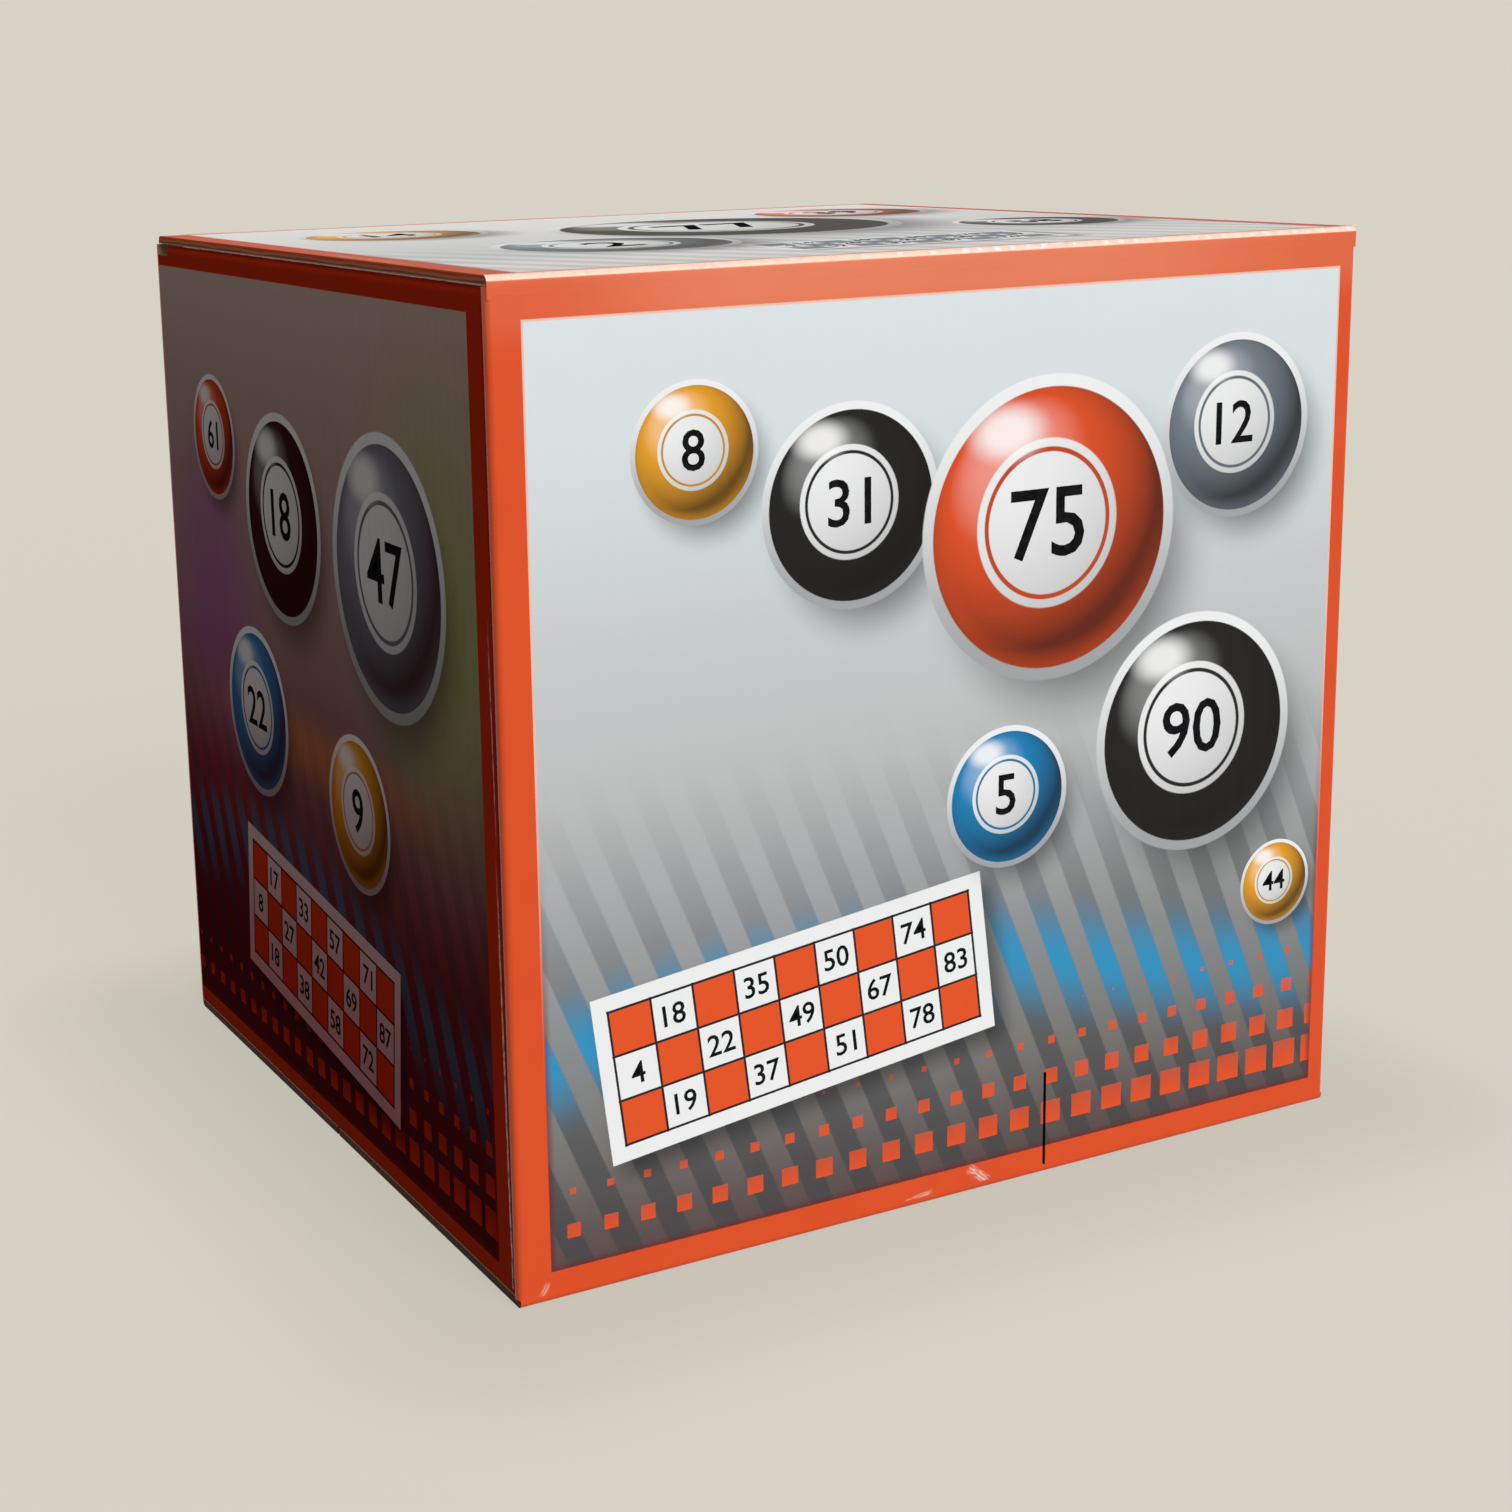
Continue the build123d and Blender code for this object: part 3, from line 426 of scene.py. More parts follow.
def makeSquareGroup():
    look = squareLook
    tree, given, out = newGroup("printedSquares", [
        ("Under", "Color"), ("Point", "Vector"), ("Pitch", "Float"), ("Low", "Float"),
        ("Right", "Float"),
    ])
    x, y, _ = split(tree, given["Point"])
    fromLow = minus(tree, y, given["Low"])
    placeX = calc(tree, "DIVIDE", x, given["Pitch"])
    placeY = calc(tree, "DIVIDE", fromLow, given["Pitch"])
    cellX, cellY = calc(tree, "FRACT", placeX), calc(tree, "FRACT", placeY)
    column = times(tree, calc(tree, "FLOOR", placeX), given["Pitch"])
    left = calc(tree, "DIVIDE", minus(tree, given["Right"], column), look["leftReach"])
    half = scaled(tree, calc(tree, "FLOOR", placeY), look["rowLoss"], look["half"])
    half = minus(tree, half, times(tree, left, look["leftLoss"]))
    reach = calc(tree, "MAXIMUM", absolute(tree, minus(tree, cellX, 0.5)),
                 absolute(tree, minus(tree, cellY, 0.5)))
    square = times(tree, calc(tree, "LESS_THAN", reach, half),
                   calc(tree, "GREATER_THAN", fromLow, 0.0),
                   scaled(tree, cellY, *look["fading"], clamp=True))
    plug(tree, out["Colour"], tint(tree, square, given["Under"], inks["orange"]))
    return tree


# One pale rub mark: a streaky patch of given half length and half width
rubLook = {
    "streak": (0.35, 2.2, 1.0), "long": (1.0, 0.5), "wide": (1.0, 0.35), "gaps": (0.38, 0.6),
    "ink": ink(240, 226, 218),
}


def makeRubGroup():
    look = rubLook
    tree, given, out = newGroup("rubMark", [
        ("Under", "Color"), ("Point", "Vector"), ("Centre", "Vector"), ("Turn", "Float"),
        ("Length", "Float"), ("Width", "Float"), ("Strength", "Float"),
    ])
    rel = turned(tree, vec(tree, "SUBTRACT", given["Point"], given["Centre"]),
                 times(tree, given["Turn"], -1.0))
    x, y, _ = split(tree, rel)
    long = calc(tree, "DIVIDE", absolute(tree, x), given["Length"])
    wide = calc(tree, "DIVIDE", absolute(tree, y), given["Width"])
    streak = noise(tree, vec(tree, "MULTIPLY", rel, look["streak"]), 1.0, 3.0, 0.7)
    mark = times(tree, fade(tree, long, *look["long"]), fade(tree, wide, *look["wide"]),
                 fade(tree, streak, *look["gaps"]), given["Strength"])
    plug(tree, out["Colour"], tint(tree, mark, given["Under"], look["ink"]))
    return tree


ballGroup = makeBallGroup()
cardGroup = makeCardGroup()
bandGroup = makeBandGroup()
squareGroup = makeSquareGroup()
rubGroup = makeRubGroup()
print("print motifs ready")

panelTones = [
    (0.00, ink(84, 62, 62)), (0.07, ink(95, 84, 84)), (0.17, ink(122, 122, 120)),
    (0.28, ink(142, 144, 144)), (0.39, ink(166, 169, 171)), (0.50, ink(188, 191, 191)),
    (0.66, ink(202, 206, 208)), (0.84, ink(216, 225, 227)), (1.00, ink(223, 230, 233)),
]
sideTones = [
    (0.00, ink(108, 38, 38)), (0.10, ink(98, 34, 38)), (0.26, ink(104, 42, 48)),
    (0.38, ink(128, 84, 86)), (0.54, ink(150, 118, 118)), (0.72, ink(170, 142, 138)),
    (0.88, ink(188, 164, 154)), (1.00, ink(206, 184, 172)),
]
lidTones = [
    (0.00, ink(224, 221, 220)), (0.12, ink(232, 230, 229)), (0.30, ink(212, 213, 214)),
    (0.55, ink(222, 223, 224)), (0.80, ink(236, 235, 233)), (1.00, ink(240, 239, 237)),
]
# What each face shows. Places and sizes are shares of the face's width, from its lower left.
# Balls: across, up, radius, ink, number. Cards: across, up, turn, cell, ink, seed of its numbers.
# Rubs: across and up in mm, turn, half length, half width, strength.
# Tints and reflections: patches that are partly the print's own tints and partly painted reflections:
# across, up, half width, half height, ink, strength. Corner: the edge whose rounded corner gets a band of
# painted shade.
prints = {
    "front": {
        "tones": panelTones, "margins": (0.035, 0.023, 0.031, 0.042), "glow": 0.23,
        # sheen is a painted highlight along the top border
        "squares": 0.036, "sheen": 0.32,
        "balls": [
            (0.205, 0.800, 0.062, "gold", "8"), (0.375, 0.735, 0.092, "black", "31"),
            (0.610, 0.690, 0.142, "orange", "75"), (0.845, 0.775, 0.088, "steel", "12"),
            (0.800, 0.455, 0.118, "black", "90"), (0.560, 0.420, 0.068, "blue", "5"),
            (0.918, 0.270, 0.044, "gold", "44"),
        ],
        "cards": [(0.315, 0.235, 7.0, 0.046, "orange", 3)],
        "rubs": [(121.5, 4.0, -38.0, 4.2, 1.6, 0.75), (103.0, 2.0, 10.0, 6.0, 0.9, 0.5),
                 (222.0, 0.5, 4.0, 5.0, 0.9, 1.0), (6.0, 2.6, 60.0, 3.0, 1.0, 0.4)],
    },
    "left": {
        "tones": sideTones, "margins": (0.005, 0.045, 0.033, 0.036), "glow": 0.25, "squares": 0.038,
        # Painted shade on this side face: deep darkens its border, the veil darkens all its print, and dim
        # darkens it more towards the bottom
        "glowStrength": 0.5, "deep": 0.72, "shadedCorner": "right", "sideShade": 0.34, "line": 0.0,
        # Tint patches: partly the print's own tints, partly painted reflections
        "tintsAndReflections": [
            (0.16, 0.60, 0.20, 0.26, ink(158, 90, 150), 0.65),
            (0.86, 0.68, 0.26, 0.30, ink(156, 180, 100), 0.65),
            (0.48, 0.46, 0.42, 0.05, ink(214, 128, 52), 0.55),
            (0.14, 0.34, 0.26, 0.10, ink(150, 24, 28), 0.5),
        ],
        "balls": [
            (0.190, 0.790, 0.070, "orange", "61"), (0.420, 0.720, 0.112, "black", "18"),
            (0.730, 0.700, 0.140, "steel", "47"), (0.300, 0.470, 0.095, "blue", "22"),
            (0.620, 0.420, 0.082, "gold", "9"),
        ],
        "cards": [(0.470, 0.200, -6.0, 0.050, "orange", 11)],
        "rubs": [(214.6, 46.0, 90.8, 60.0, 0.5, 1.0), (213.9, 128.0, 91.0, 26.0, 0.3, 0.7)],
    },
    "right": {
        "tones": sideTones, "margins": (0.045, 0.005, 0.033, 0.036), "glow": 0.25, "squares": 0.038,
        # Painted shade on this side face: deep darkens its border, the veil darkens all its print, and dim
        # darkens it more towards the bottom
        "glowStrength": 0.5, "deep": 0.72, "shadedCorner": "left", "sideShade": 0.34, "line": 0.0,
        # Tint patches: partly the print's own tints, partly painted reflections
        "tintsAndReflections": [
            (0.82, 0.62, 0.22, 0.28, ink(150, 84, 140), 0.45),
            (0.20, 0.66, 0.26, 0.30, ink(150, 170, 96), 0.45),
            (0.50, 0.46, 0.42, 0.05, ink(214, 128, 52), 0.5),
        ],
        "balls": [
            (0.240, 0.730, 0.118, "blue", "36"), (0.520, 0.790, 0.078, "gold", "70"),
            (0.790, 0.720, 0.128, "black", "54"), (0.560, 0.480, 0.100, "orange", "3"),
            (0.250, 0.430, 0.066, "steel", "88"),
        ],
        "cards": [(0.520, 0.200, 6.0, 0.050, "blue", 5)],
        "rubs": [(3.6, 60.0, 90.0, 24.0, 0.2, 0.7), (150.0, 3.0, 20.0, 5.0, 1.0, 0.5)],
    },
    "back": {
        "tones": panelTones, "margins": (0.023, 0.035, 0.031, 0.034), "glow": 0.23, "squares": 0.036,
        "balls": [
            (0.170, 0.745, 0.096, "black", "63"), (0.400, 0.700, 0.135, "steel", "27"),
            (0.660, 0.790, 0.072, "orange", "16"), (0.840, 0.660, 0.110, "blue", "82"),
            (0.600, 0.480, 0.084, "gold", "50"), (0.220, 0.440, 0.070, "orange", "7"),
        ],
        "cards": [(0.560, 0.230, -5.0, 0.050, "orange", 8)],
        "rubs": [(60.0, 3.0, 15.0, 5.0, 1.0, 0.5), (227.0, 90.0, 90.0, 20.0, 0.3, 0.5)],
    },
    "lid": {
        "tones": lidTones, "margins": (0.035, 0.023, 0.012, 0.028), "glow": 0.20, "squares": -0.5,
        "glowStrength": 0.1, "stripes": 0.2, "deep": 0.25,
        "balls": [
            (0.205, 0.700, 0.100, "gold", "14"), (0.300, 0.330, 0.120, "steel", "2"),
            (0.560, 0.560, 0.190, "black", "77"), (0.830, 0.740, 0.105, "orange", "39"),
            (0.860, 0.360, 0.090, "black", "58"),
        ],
        "cards": [(0.545, 0.160, 0.0, 0.034, "steel", 6)],
        "rubs": [(3.0, 70.0, 90.0, 30.0, 0.5, 0.5), (140.0, 150.0, 30.0, 9.0, 0.5, 0.4)],
    },
}


# Place on a face in millimetres: right and up from its lower left corner
def facePoint(tree, point, face):
    corner, right, up = faces[face][:3]
    rel = vec(tree, "SUBTRACT", point, corner)
    return join(tree, vec(tree, "DOT_PRODUCT", rel, right), vec(tree, "DOT_PRODUCT", rel, up))


def borderTone(tree, point):
    return tint(tree, noise(tree, point, 0.05, 3.0), inks["borderDeep"], inks["border"])


# Print common to all faces. Lengths in mm from the face's edge or inwards from the border.
printLook = {
    "bandPitch": 0.054, "squarePitch": 0.04, "squareLift": 0.012, "glow": 0.9, "stripes": 0.62,
    # The veil and dim tones are painted shade on the side faces
    "tintReach": (1.15, 0.1), "sideShadeInk": ink(84, 30, 34), "dimInk": ink(206, 112, 116),
    "dim": (0.1, 0.62, 0.85, 0.0), "soft": (-0.1, 0.1), "lineOut": (-0.55, -0.35),
    "lineIn": (0.15, -0.05), "lineUp": (0.2, 0.6), "line": 0.85, "shadeOut": (1.8, 0.1),
    "shadeIn": (-0.2, 0.0), "shadeUp": (0.2, 0.5, 0.6, 0.0), "shadeInk": ink(104, 22, 20),
    # The corner band and its tone are painted shade where a side face's rounded corner turns from the light
    "shadedCorner": (3.4, 1.2, 0.0, 0.7), "cornerShadeInk": ink(40, 14, 10),
    "sheenDown": (18.0, 7.0), "sheenStart": (6.0, 60.0, 0.3, 1.0),
    "sheenEnd": (150.0, 225.0, 1.0, 0.45),
}


# Share of the painted sheen, a painted highlight, along the front's top border, by the distance from its
# left end
def sheenShare(tree, x):
    return times(tree, fade(tree, x, *printLook["sheenStart"]), fade(tree, x, *printLook["sheenEnd"]))


# Distance inwards from the border of a face
def fromBorder(tree, x, y, width, height, margins):
    left, right, low, top = (m * width for m in margins)
    reach = minus(tree, x, left)
    for other in (minus(tree, width - right, x), minus(tree, y, low), minus(tree, height - top, y)):
        reach = calc(tree, "MINIMUM", reach, other)
    return reach


# Colour of the print on one face of the carton
def printFace(tree, point, face):
    look, design = printLook, prints[face]
    width, height = faces[face][4:]
    spot = facePoint(tree, point, face)
    x, y, _ = split(tree, spot)

    def fadeUp(start, end, low=0.0, high=1.0):
        return fade(tree, y, start * height, end * height, low, high)

    colour = ramp(tree, calc(tree, "DIVIDE", y, height), design["tones"])
    # Tint patches on the side faces: partly print, partly painted reflections
    for across, up, halfWide, halfHigh, patchTone, strength in design.get("tintsAndReflections", []):
        rel = vec(tree, "MULTIPLY", vec(tree, "SUBTRACT", spot, (across * width, up * width, 0)),
                  (1 / (halfWide * width), 1 / (halfHigh * width), 0))
        share = fade(tree, vec(tree, "LENGTH", rel), *look["tintReach"], 0.0, strength)
        colour = tint(tree, share, colour, patchTone)
    colour = useGroup(tree, bandGroup, Under=colour, Point=spot, Pitch=width * look["bandPitch"],
                      Glow_height=design["glow"] * width,
                      Glow=design.get("glowStrength", look["glow"]),
                      Depth=design.get("stripes", look["stripes"]))
    colour = useGroup(tree, squareGroup, Under=colour, Point=spot, Pitch=width * look["squarePitch"],
                      Low=(design["squares"] + look["squareLift"]) * width, Right=width)
    for across, up, turn, cell, inkName, _ in design["cards"]:
        colour = useGroup(tree, cardGroup, Under=colour, Point=spot, Cell=cell * width,
                          Centre=(across * width, up * width, 0), Turn=radians(turn),
                          Cell_ink=inks[inkName])
    for across, up, radius, inkName, _ in design["balls"]:
        colour = useGroup(tree, ballGroup, Under=colour, Point=spot, Radius=radius * width,
                          Centre=(across * width, up * width, 0), Ball_ink=inks[inkName])
    # Painted shade on the side faces: the whole print darkened, more towards the bottom
    if "sideShade" in design:
        colour = tint(tree, design["sideShade"], colour, look["sideShadeInk"])
        colour = tint(tree, fadeUp(*look["dim"]), colour, look["dimInk"], "MULTIPLY")
    reach = fromBorder(tree, x, y, width, height, design["margins"])
    border = tint(tree, design.get("deep", 0.0), borderTone(tree, point), inks["borderDark"])
    # Painted highlight: the front's top border lightened towards the pale ink
    start, end = look["sheenDown"]
    sheen = times(tree, fade(tree, y, height - start, height - end), sheenShare(tree, x))
    border = tint(tree, times(tree, sheen, design.get("sheen", 0.0)), border, inks["borderPale"])
    framed = tint(tree, fade(tree, reach, *look["soft"]), border, colour)
    line = times(tree, fade(tree, reach, *look["lineOut"]), fade(tree, reach, *look["lineIn"]),
                 fadeUp(*look["lineUp"], 0.0, design.get("line", look["line"])))
    colour = tint(tree, line, framed, inks["hairline"])
    shade = times(tree, fade(tree, reach, *look["shadeOut"]), fade(tree, reach, *look["shadeIn"]),
                  fadeUp(*look["shadeUp"]))
    colour = tint(tree, shade, colour, look["shadeInk"])
    # Painted shade in a band along the rounded corner
    if "shadedCorner" in design:
        away = minus(tree, width, x) if design["shadedCorner"] == "right" else x
        colour = tint(tree, fade(tree, away, *look["shadedCorner"]), colour, look["cornerShadeInk"])
    for across, up, turn, long, wide, strength in design["rubs"]:
        colour = useGroup(tree, rubGroup, Under=colour, Point=spot, Centre=(across, up, 0),
                          Turn=radians(turn), Length=long, Width=wide, Strength=strength)
    return colour


# Board in mm: thickness, pitch of the flutes, how far the print runs round a fold
board = {
    "thick": 2.0, "flute": 4.3, "bleed": 3.2, "ragged": 1.6,
    "kraft": ink(172, 146, 116), "kraftDark": ink(152, 126, 98), "speckInk": ink(104, 82, 62),
    "speck": (0.68, 0.76, 0.0, 0.35), "dull": 0.86, "rough": 0.4, "wave": 0.5, "press": 0.012,
}
# Raw edge in mm from the middle of the board: wave height, paper's half thickness, liners
cutLook = {
    # The dark tone is painted shade in the hollows between the papers
    "light": ink(196, 138, 104), "dark": ink(84, 52, 36), "bulge": -0.62, "waved": (0.3, 0.14),
    "plain": (0.45, 0.2, 0.2, 0.75), "drift": (0.2, 0.8, -0.25, 0.25), "liner": (0.62, 0.78),
    # The foot tone is painted shade on the base flaps' raw edges at the carton's foot
    "skinEnd": 0.85, "skin": 0.7, "footShade": 0.8, "footShadeInk": ink(30, 14, 11),
    # The slit tone is painted shade inside the slit in the front panel
    "slitShadeInk": ink(26, 18, 14),
}
alongX, alongY, alongZ = Vector((1, 0, 0)), Vector((0, 1, 0)), Vector((0, 0, 1))
outerHigh = Vector((half.x, half.y, high))
outerLow = Vector((-half.x, -half.y, 0))


# Brown liner with fibres; gives its colour and height
def kraftTone(tree, point):
    long = noise(tree, vec(tree, "MULTIPLY", point, (0.7, 0.7, 2.0)), 1.8, 5.0, 0.65)
    speck = noise(tree, point, 4.2, 2.0)
    colour = tint(tree, fade(tree, long, 0.25, 0.75), board["kraftDark"], board["kraft"])
    colour = tint(tree, fade(tree, speck, *board["speck"]), colour, board["speckInk"])
    return colour, calc(tree, "ADD", long, times(tree, speck, 0.6))


# Raw cut edge: waves of paper where it crosses the flutes, straight lines along them; the hollows between
# the papers get painted shade
def cutEdge(tree, point, facing, outward, flute, middle, skin):
    look = cutLook
    skinTone, skinStart, dim = skin
    through = minus(tree, vec(tree, "DOT_PRODUCT", point, outward), middle)
    along = vec(tree, "DOT_PRODUCT", point, outward.cross(flute))
    wave = calc(tree, "SINE", times(tree, along, 2 * pi / board["flute"]))
    drift = fade(tree, noise(tree, point, 0.05, 2.0), *look["drift"])
    crossing = fade(tree, absolute(tree, vec(tree, "DOT_PRODUCT", facing, flute)), 0.4, 0.6)
    waved = fade(tree, absolute(tree, scaled(tree, wave, look["bulge"], through)), *look["waved"])
    plain = fade(tree, absolute(tree, minus(tree, through, drift)), *look["plain"])
    paper = calc(tree, "ADD", times(tree, waved, crossing),
                 times(tree, plain, minus(tree, 1.0, crossing)))
    liner = fade(tree, absolute(tree, through), *look["liner"])
    colour = tint(tree, calc(tree, "MAXIMUM", paper, liner), look["dark"], look["light"])
    skinShare = fade(tree, through, skinStart, look["skinEnd"], 0.0, look["skin"])
    # dim darkens the edge towards the foot tone: painted shade
    return tint(tree, dim, tint(tree, skinShare, colour, skinTone), look["footShadeInk"])


# Place of the carton's outer face in a fold's direction
def outerReach(fold):
    return sum(max(f * a, f * b) for f, a, b in zip(fold, outerLow, outerHigh))


# Mask of the folds that carry print round the edge of a panel
def foldMask(tree, point, facing, folds):
    mask = 0.0
    for fold in folds:
        reach = outerReach(fold) - board["bleed"]
        bent = calc(tree, "GREATER_THAN", vec(tree, "DOT_PRODUCT", facing, fold), 0.3)
        near = calc(tree, "GREATER_THAN", vec(tree, "DOT_PRODUCT", point, fold), reach)
        mask = calc(tree, "MAXIMUM", mask, times(tree, bent, near))
    return mask


# White outer paper that takes the border's ink near its folds
def plainSkin(tree, point, folds, deep):
    near = 0.0
    for fold in folds:
        far = minus(tree, outerReach(fold), vec(tree, "DOT_PRODUCT", point, fold))
        ragged = scaled(tree, noise(tree, point, 0.3, 3.0), board["ragged"], board["bleed"])
        near = calc(tree, "MAXIMUM", near, calc(tree, "LESS_THAN", far, ragged))
    border = tint(tree, deep, borderTone(tree, point), inks["borderDark"])
    return tint(tree, near, inks["paper"], border)


# Board material: skin outside, raw edges, brown liner inside
def makeBoard(name, outward, flute, middle, folds, face=None, level=0.2, deep=0.0):
    rough = printRough.get(face, board["rough"])
    material, tree, shader = newMaterial(name, IOR=1.5, Specular_IOR_Level=level)
    point, facing = objectPoint(tree), surfaceNormal(tree)
    outside = vec(tree, "DOT_PRODUCT", facing, outward)
    bleed = foldMask(tree, point, facing, folds)
    skin = calc(tree, "MAXIMUM", calc(tree, "GREATER_THAN", outside, 0.3), bleed)
    colour = printFace(tree, point, face) if face else plainSkin(tree, point, folds, deep)
    inner, liner = kraftTone(tree, point)
    # Base flaps get the foot tone on their raw edges: painted shade at the carton's foot
    skinEdge = (inks["borderDeep"] if face else inks["paper"], -0.7 if face == "lid" else 0.6,
                cutLook["footShade"] if name.startswith("base") else 0.0)
    edge = cutEdge(tree, point, facing, outward, flute, middle, skinEdge)
    # Painted shade on the walls of the slit
    if face == "front":
        slit = calc(tree, "GREATER_THAN", absolute(tree, split(tree, facing)[0]), 0.5)
        edge = tint(tree, slit, edge, cutLook["slitShadeInk"])
    cut = calc(tree, "LESS_THAN", absolute(tree, outside), 0.5)
    inner = tint(tree, cut, inner, edge)
    plug(tree, shader.inputs["Base Color"], tint(tree, skin, inner, colour))
    plug(tree, shader.inputs["Roughness"], fade(tree, skin, 0.0, 1.0, board["dull"], rough))
    across = vec(tree, "DOT_PRODUCT", point, outward.cross(flute))
    flutes = calc(tree, "SINE", times(tree, across, 2 * pi / board["flute"]))
    height = times(tree, noise(tree, point, 0.035, 2.0), board["wave"])
    height = scaled(tree, flutes, board["press"], height)
    fibre = times(tree, liner, fade(tree, skin, 0.0, 1.0, 0.03, 0.004))
    plug(tree, shader.inputs["Normal"], bump(tree, calc(tree, "ADD", height, fibre), mm))
    return material


halfThick = board["thick"] / 2
midY, midX, midLid = half.y - halfThick, half.x - halfThick, high - halfThick
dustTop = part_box("carton_left_dust_flap")[1].z / mm
printRough = {"front": 0.22, "back": 0.22, "left": 0.26, "right": 0.26, "lid": 0.42}
# Side flaps take the side faces' darker border: painted shade
sideFold = {"level": 0.0, "deep": 0.72}
# Each panel: material, outward, way of the flutes, middle of the board, folds, own settings
panels = {
    "front_panel": ("frontPrint", -alongY, alongZ, midY, [alongX, -alongX, alongZ, -alongZ],
                    {"face": "front", "level": 0.25}),
    "back_panel": ("backPrint", alongY, alongZ, midY, [alongX, -alongX, -alongZ],
                   {"face": "back", "level": 0.25}),
    "left_panel": ("leftPrint", -alongX, alongZ, midX, [alongY, -alongY],
                   {"face": "left", "level": 0.0}),
    "right_panel": ("rightPrint", alongX, alongZ, midX, [alongY, -alongY],
                    {"face": "right", "level": 0.0}),
    "lid": ("lidPrint", alongZ, alongY, midLid, [alongY, -alongY], {"face": "lid", "level": 0.04}),
    "base_front_flap": ("baseFrontBoard", -alongZ, alongY, -halfThick, [-alongY], {}),
    "base_back_flap": ("baseBackBoard", -alongZ, alongY, -halfThick, [alongY], {}),
    "base_left_flap": ("baseLeftBoard", -alongZ, alongX, -3 * halfThick, [-alongX], sideFold),
    "base_right_flap": ("baseRightBoard", -alongZ, alongX, -3 * halfThick, [alongX], sideFold),
    "left_dust_flap": ("dustLeftBoard", alongZ, alongX, dustTop - halfThick, [-alongX], sideFold),
    "right_dust_flap": ("dustRightBoard", alongZ, alongX, dustTop - halfThick, [alongX], sideFold),
    "tuck_flap": ("tuckBoard", alongY, alongZ, 105.0, [], {}),
    "glue_tab": ("glueTabBoard", alongX, alongZ, 112.0, [], {}),
}
panelMaterials = {"carton_" + part: makeBoard(*row, **own) for part, (*row, own) in panels.items()}
print("carton boards ready")


# Simple finish: two tones mixed by cloudy noise, with a fine bump
def makeFinish(name, dark, light, cloud, grain, depth, rough, **sockets):
    material, tree, shader = newMaterial(name, **sockets)
    point = objectPoint(tree)
    patch = noise(tree, point, cloud, 4.0, 0.6)
    fine = noise(tree, point, grain, 3.0, 0.6)
    plug(tree, shader.inputs["Base Color"], tint(tree, fade(tree, patch, 0.3, 0.7), dark, light))
    plug(tree, shader.inputs["Roughness"], fade(tree, fine, 0.3, 0.7, *rough))
    plug(tree, shader.inputs["Normal"], bump(tree, fine, depth * mm))
    return material


# Each finish: material, dark and light tone, cloud and grain scales, bump, roughness, sockets
finishTable = {
    "coat": ("blackWireCoat", (20, 20, 21), (33, 33, 34), 0.3, 1.7, 0.05, (0.3, 0.42),
             {"IOR": 1.5}),
    "zinc": ("zincPlate", (150, 150, 146), (206, 206, 202), 0.4, 2.4, 0.02, (0.24, 0.42),
             {"Metallic": 1.0}),
    "screw": ("blackScrew", (40, 40, 42), (72, 72, 74), 1.2, 3.0, 0.02, (0.38, 0.5),
              {"Metallic": 1.0}),
    "plastic": ("mouldedBlack", (22, 22, 24), (36, 36, 38), 0.8, 3.5, 0.04, (0.42, 0.58),
                {"IOR": 1.48}),
    "ball": ("ballWhite", (226, 222, 210), (243, 241, 233), 0.12, 0.8, 0.05, (0.26, 0.34),
             {"IOR": 1.5}),
    "chip": ("chipRed", (176, 22, 24), (208, 42, 36), 0.5, 2.0, 0.03, (0.24, 0.34), {"IOR": 1.5}),
    "numberInk": ("numberInk", (18, 18, 20), (30, 30, 33), 0.6, 4.0, 0.01, (0.26, 0.36),
                  {"IOR": 1.5, "Specular_IOR_Level": 0.0}),
}
finishes = {key: makeFinish(name, ink(*dark), ink(*light), *rest, **sockets)
            for key, (name, dark, light, *rest, sockets) in finishTable.items()}


# Card stock: grey edges, white faces, the printed grid on the foremost card
def makeCardStock():
    material, tree, shader = newMaterial("cardStock", Roughness=0.42, IOR=1.5)
    point, facing = objectPoint(tree), surfaceNormal(tree)
    edge = noise(tree, vec(tree, "MULTIPLY", point, (0.3, 40.0, 0.3)), 0.4, 2.0)
    plain = tint(tree, edge, ink(206, 204, 192), ink(238, 236, 228))
    low, top = inMm(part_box("bingo_cards"))
    spot = join(tree, split(tree, point)[0], split(tree, point)[2])
    grid = useGroup(tree, cardGroup, Under=plain, Point=spot, Cell=cardFace["cell"], Turn=0.0,
                    Centre=((low.x + top.x) / 2, (low.z + top.z) / 2, 0), Cell_ink=inks["orange"])
    front = calc(tree, "LESS_THAN", split(tree, facing)[1], -0.5)
    plug(tree, shader.inputs["Base Color"], tint(tree, front, plain, grid))
    plug(tree, shader.inputs["Normal"], bump(tree, noise(tree, point, 1.2, 4.0), 0.03 * mm))
    return material


def makeBandPaper():
    material, tree, shader = newMaterial("bandPaper", Roughness=0.72)
    point = objectPoint(tree)
    fibre = noise(tree, vec(tree, "MULTIPLY", point, (3.0, 1.0, 0.6)), 0.8, 4.0, 0.6)
    plug(tree, shader.inputs["Base Color"], tint(tree, fibre, ink(214, 208, 192), ink(238, 233, 220)))
    plug(tree, shader.inputs["Normal"], bump(tree, fibre, 0.05 * mm))
    return material


def makeFilm():
    material, tree, shader = newMaterial("clearFilm", Roughness=0.1, IOR=1.5)
    point = objectPoint(tree)
    folds = noise(tree, vec(tree, "MULTIPLY", point, (0.6, 1.2, 1.2)), 0.35, 4.0, 0.6)
    plug(tree, shader.inputs["Base Color"], tint(tree, folds, ink(220, 226, 230), ink(248, 250, 252)))
    plug(tree, shader.inputs["Alpha"], fade(tree, folds, 0.35, 0.75, 0.14, 0.42))
    plug(tree, shader.inputs["Normal"], bump(tree, folds, 0.8 * mm))
    return material


cardFace = {"cell": 20.0, "seed": 27}
finishes.update(cards=makeCardStock(), paper=makeBandPaper(), film=makeFilm())


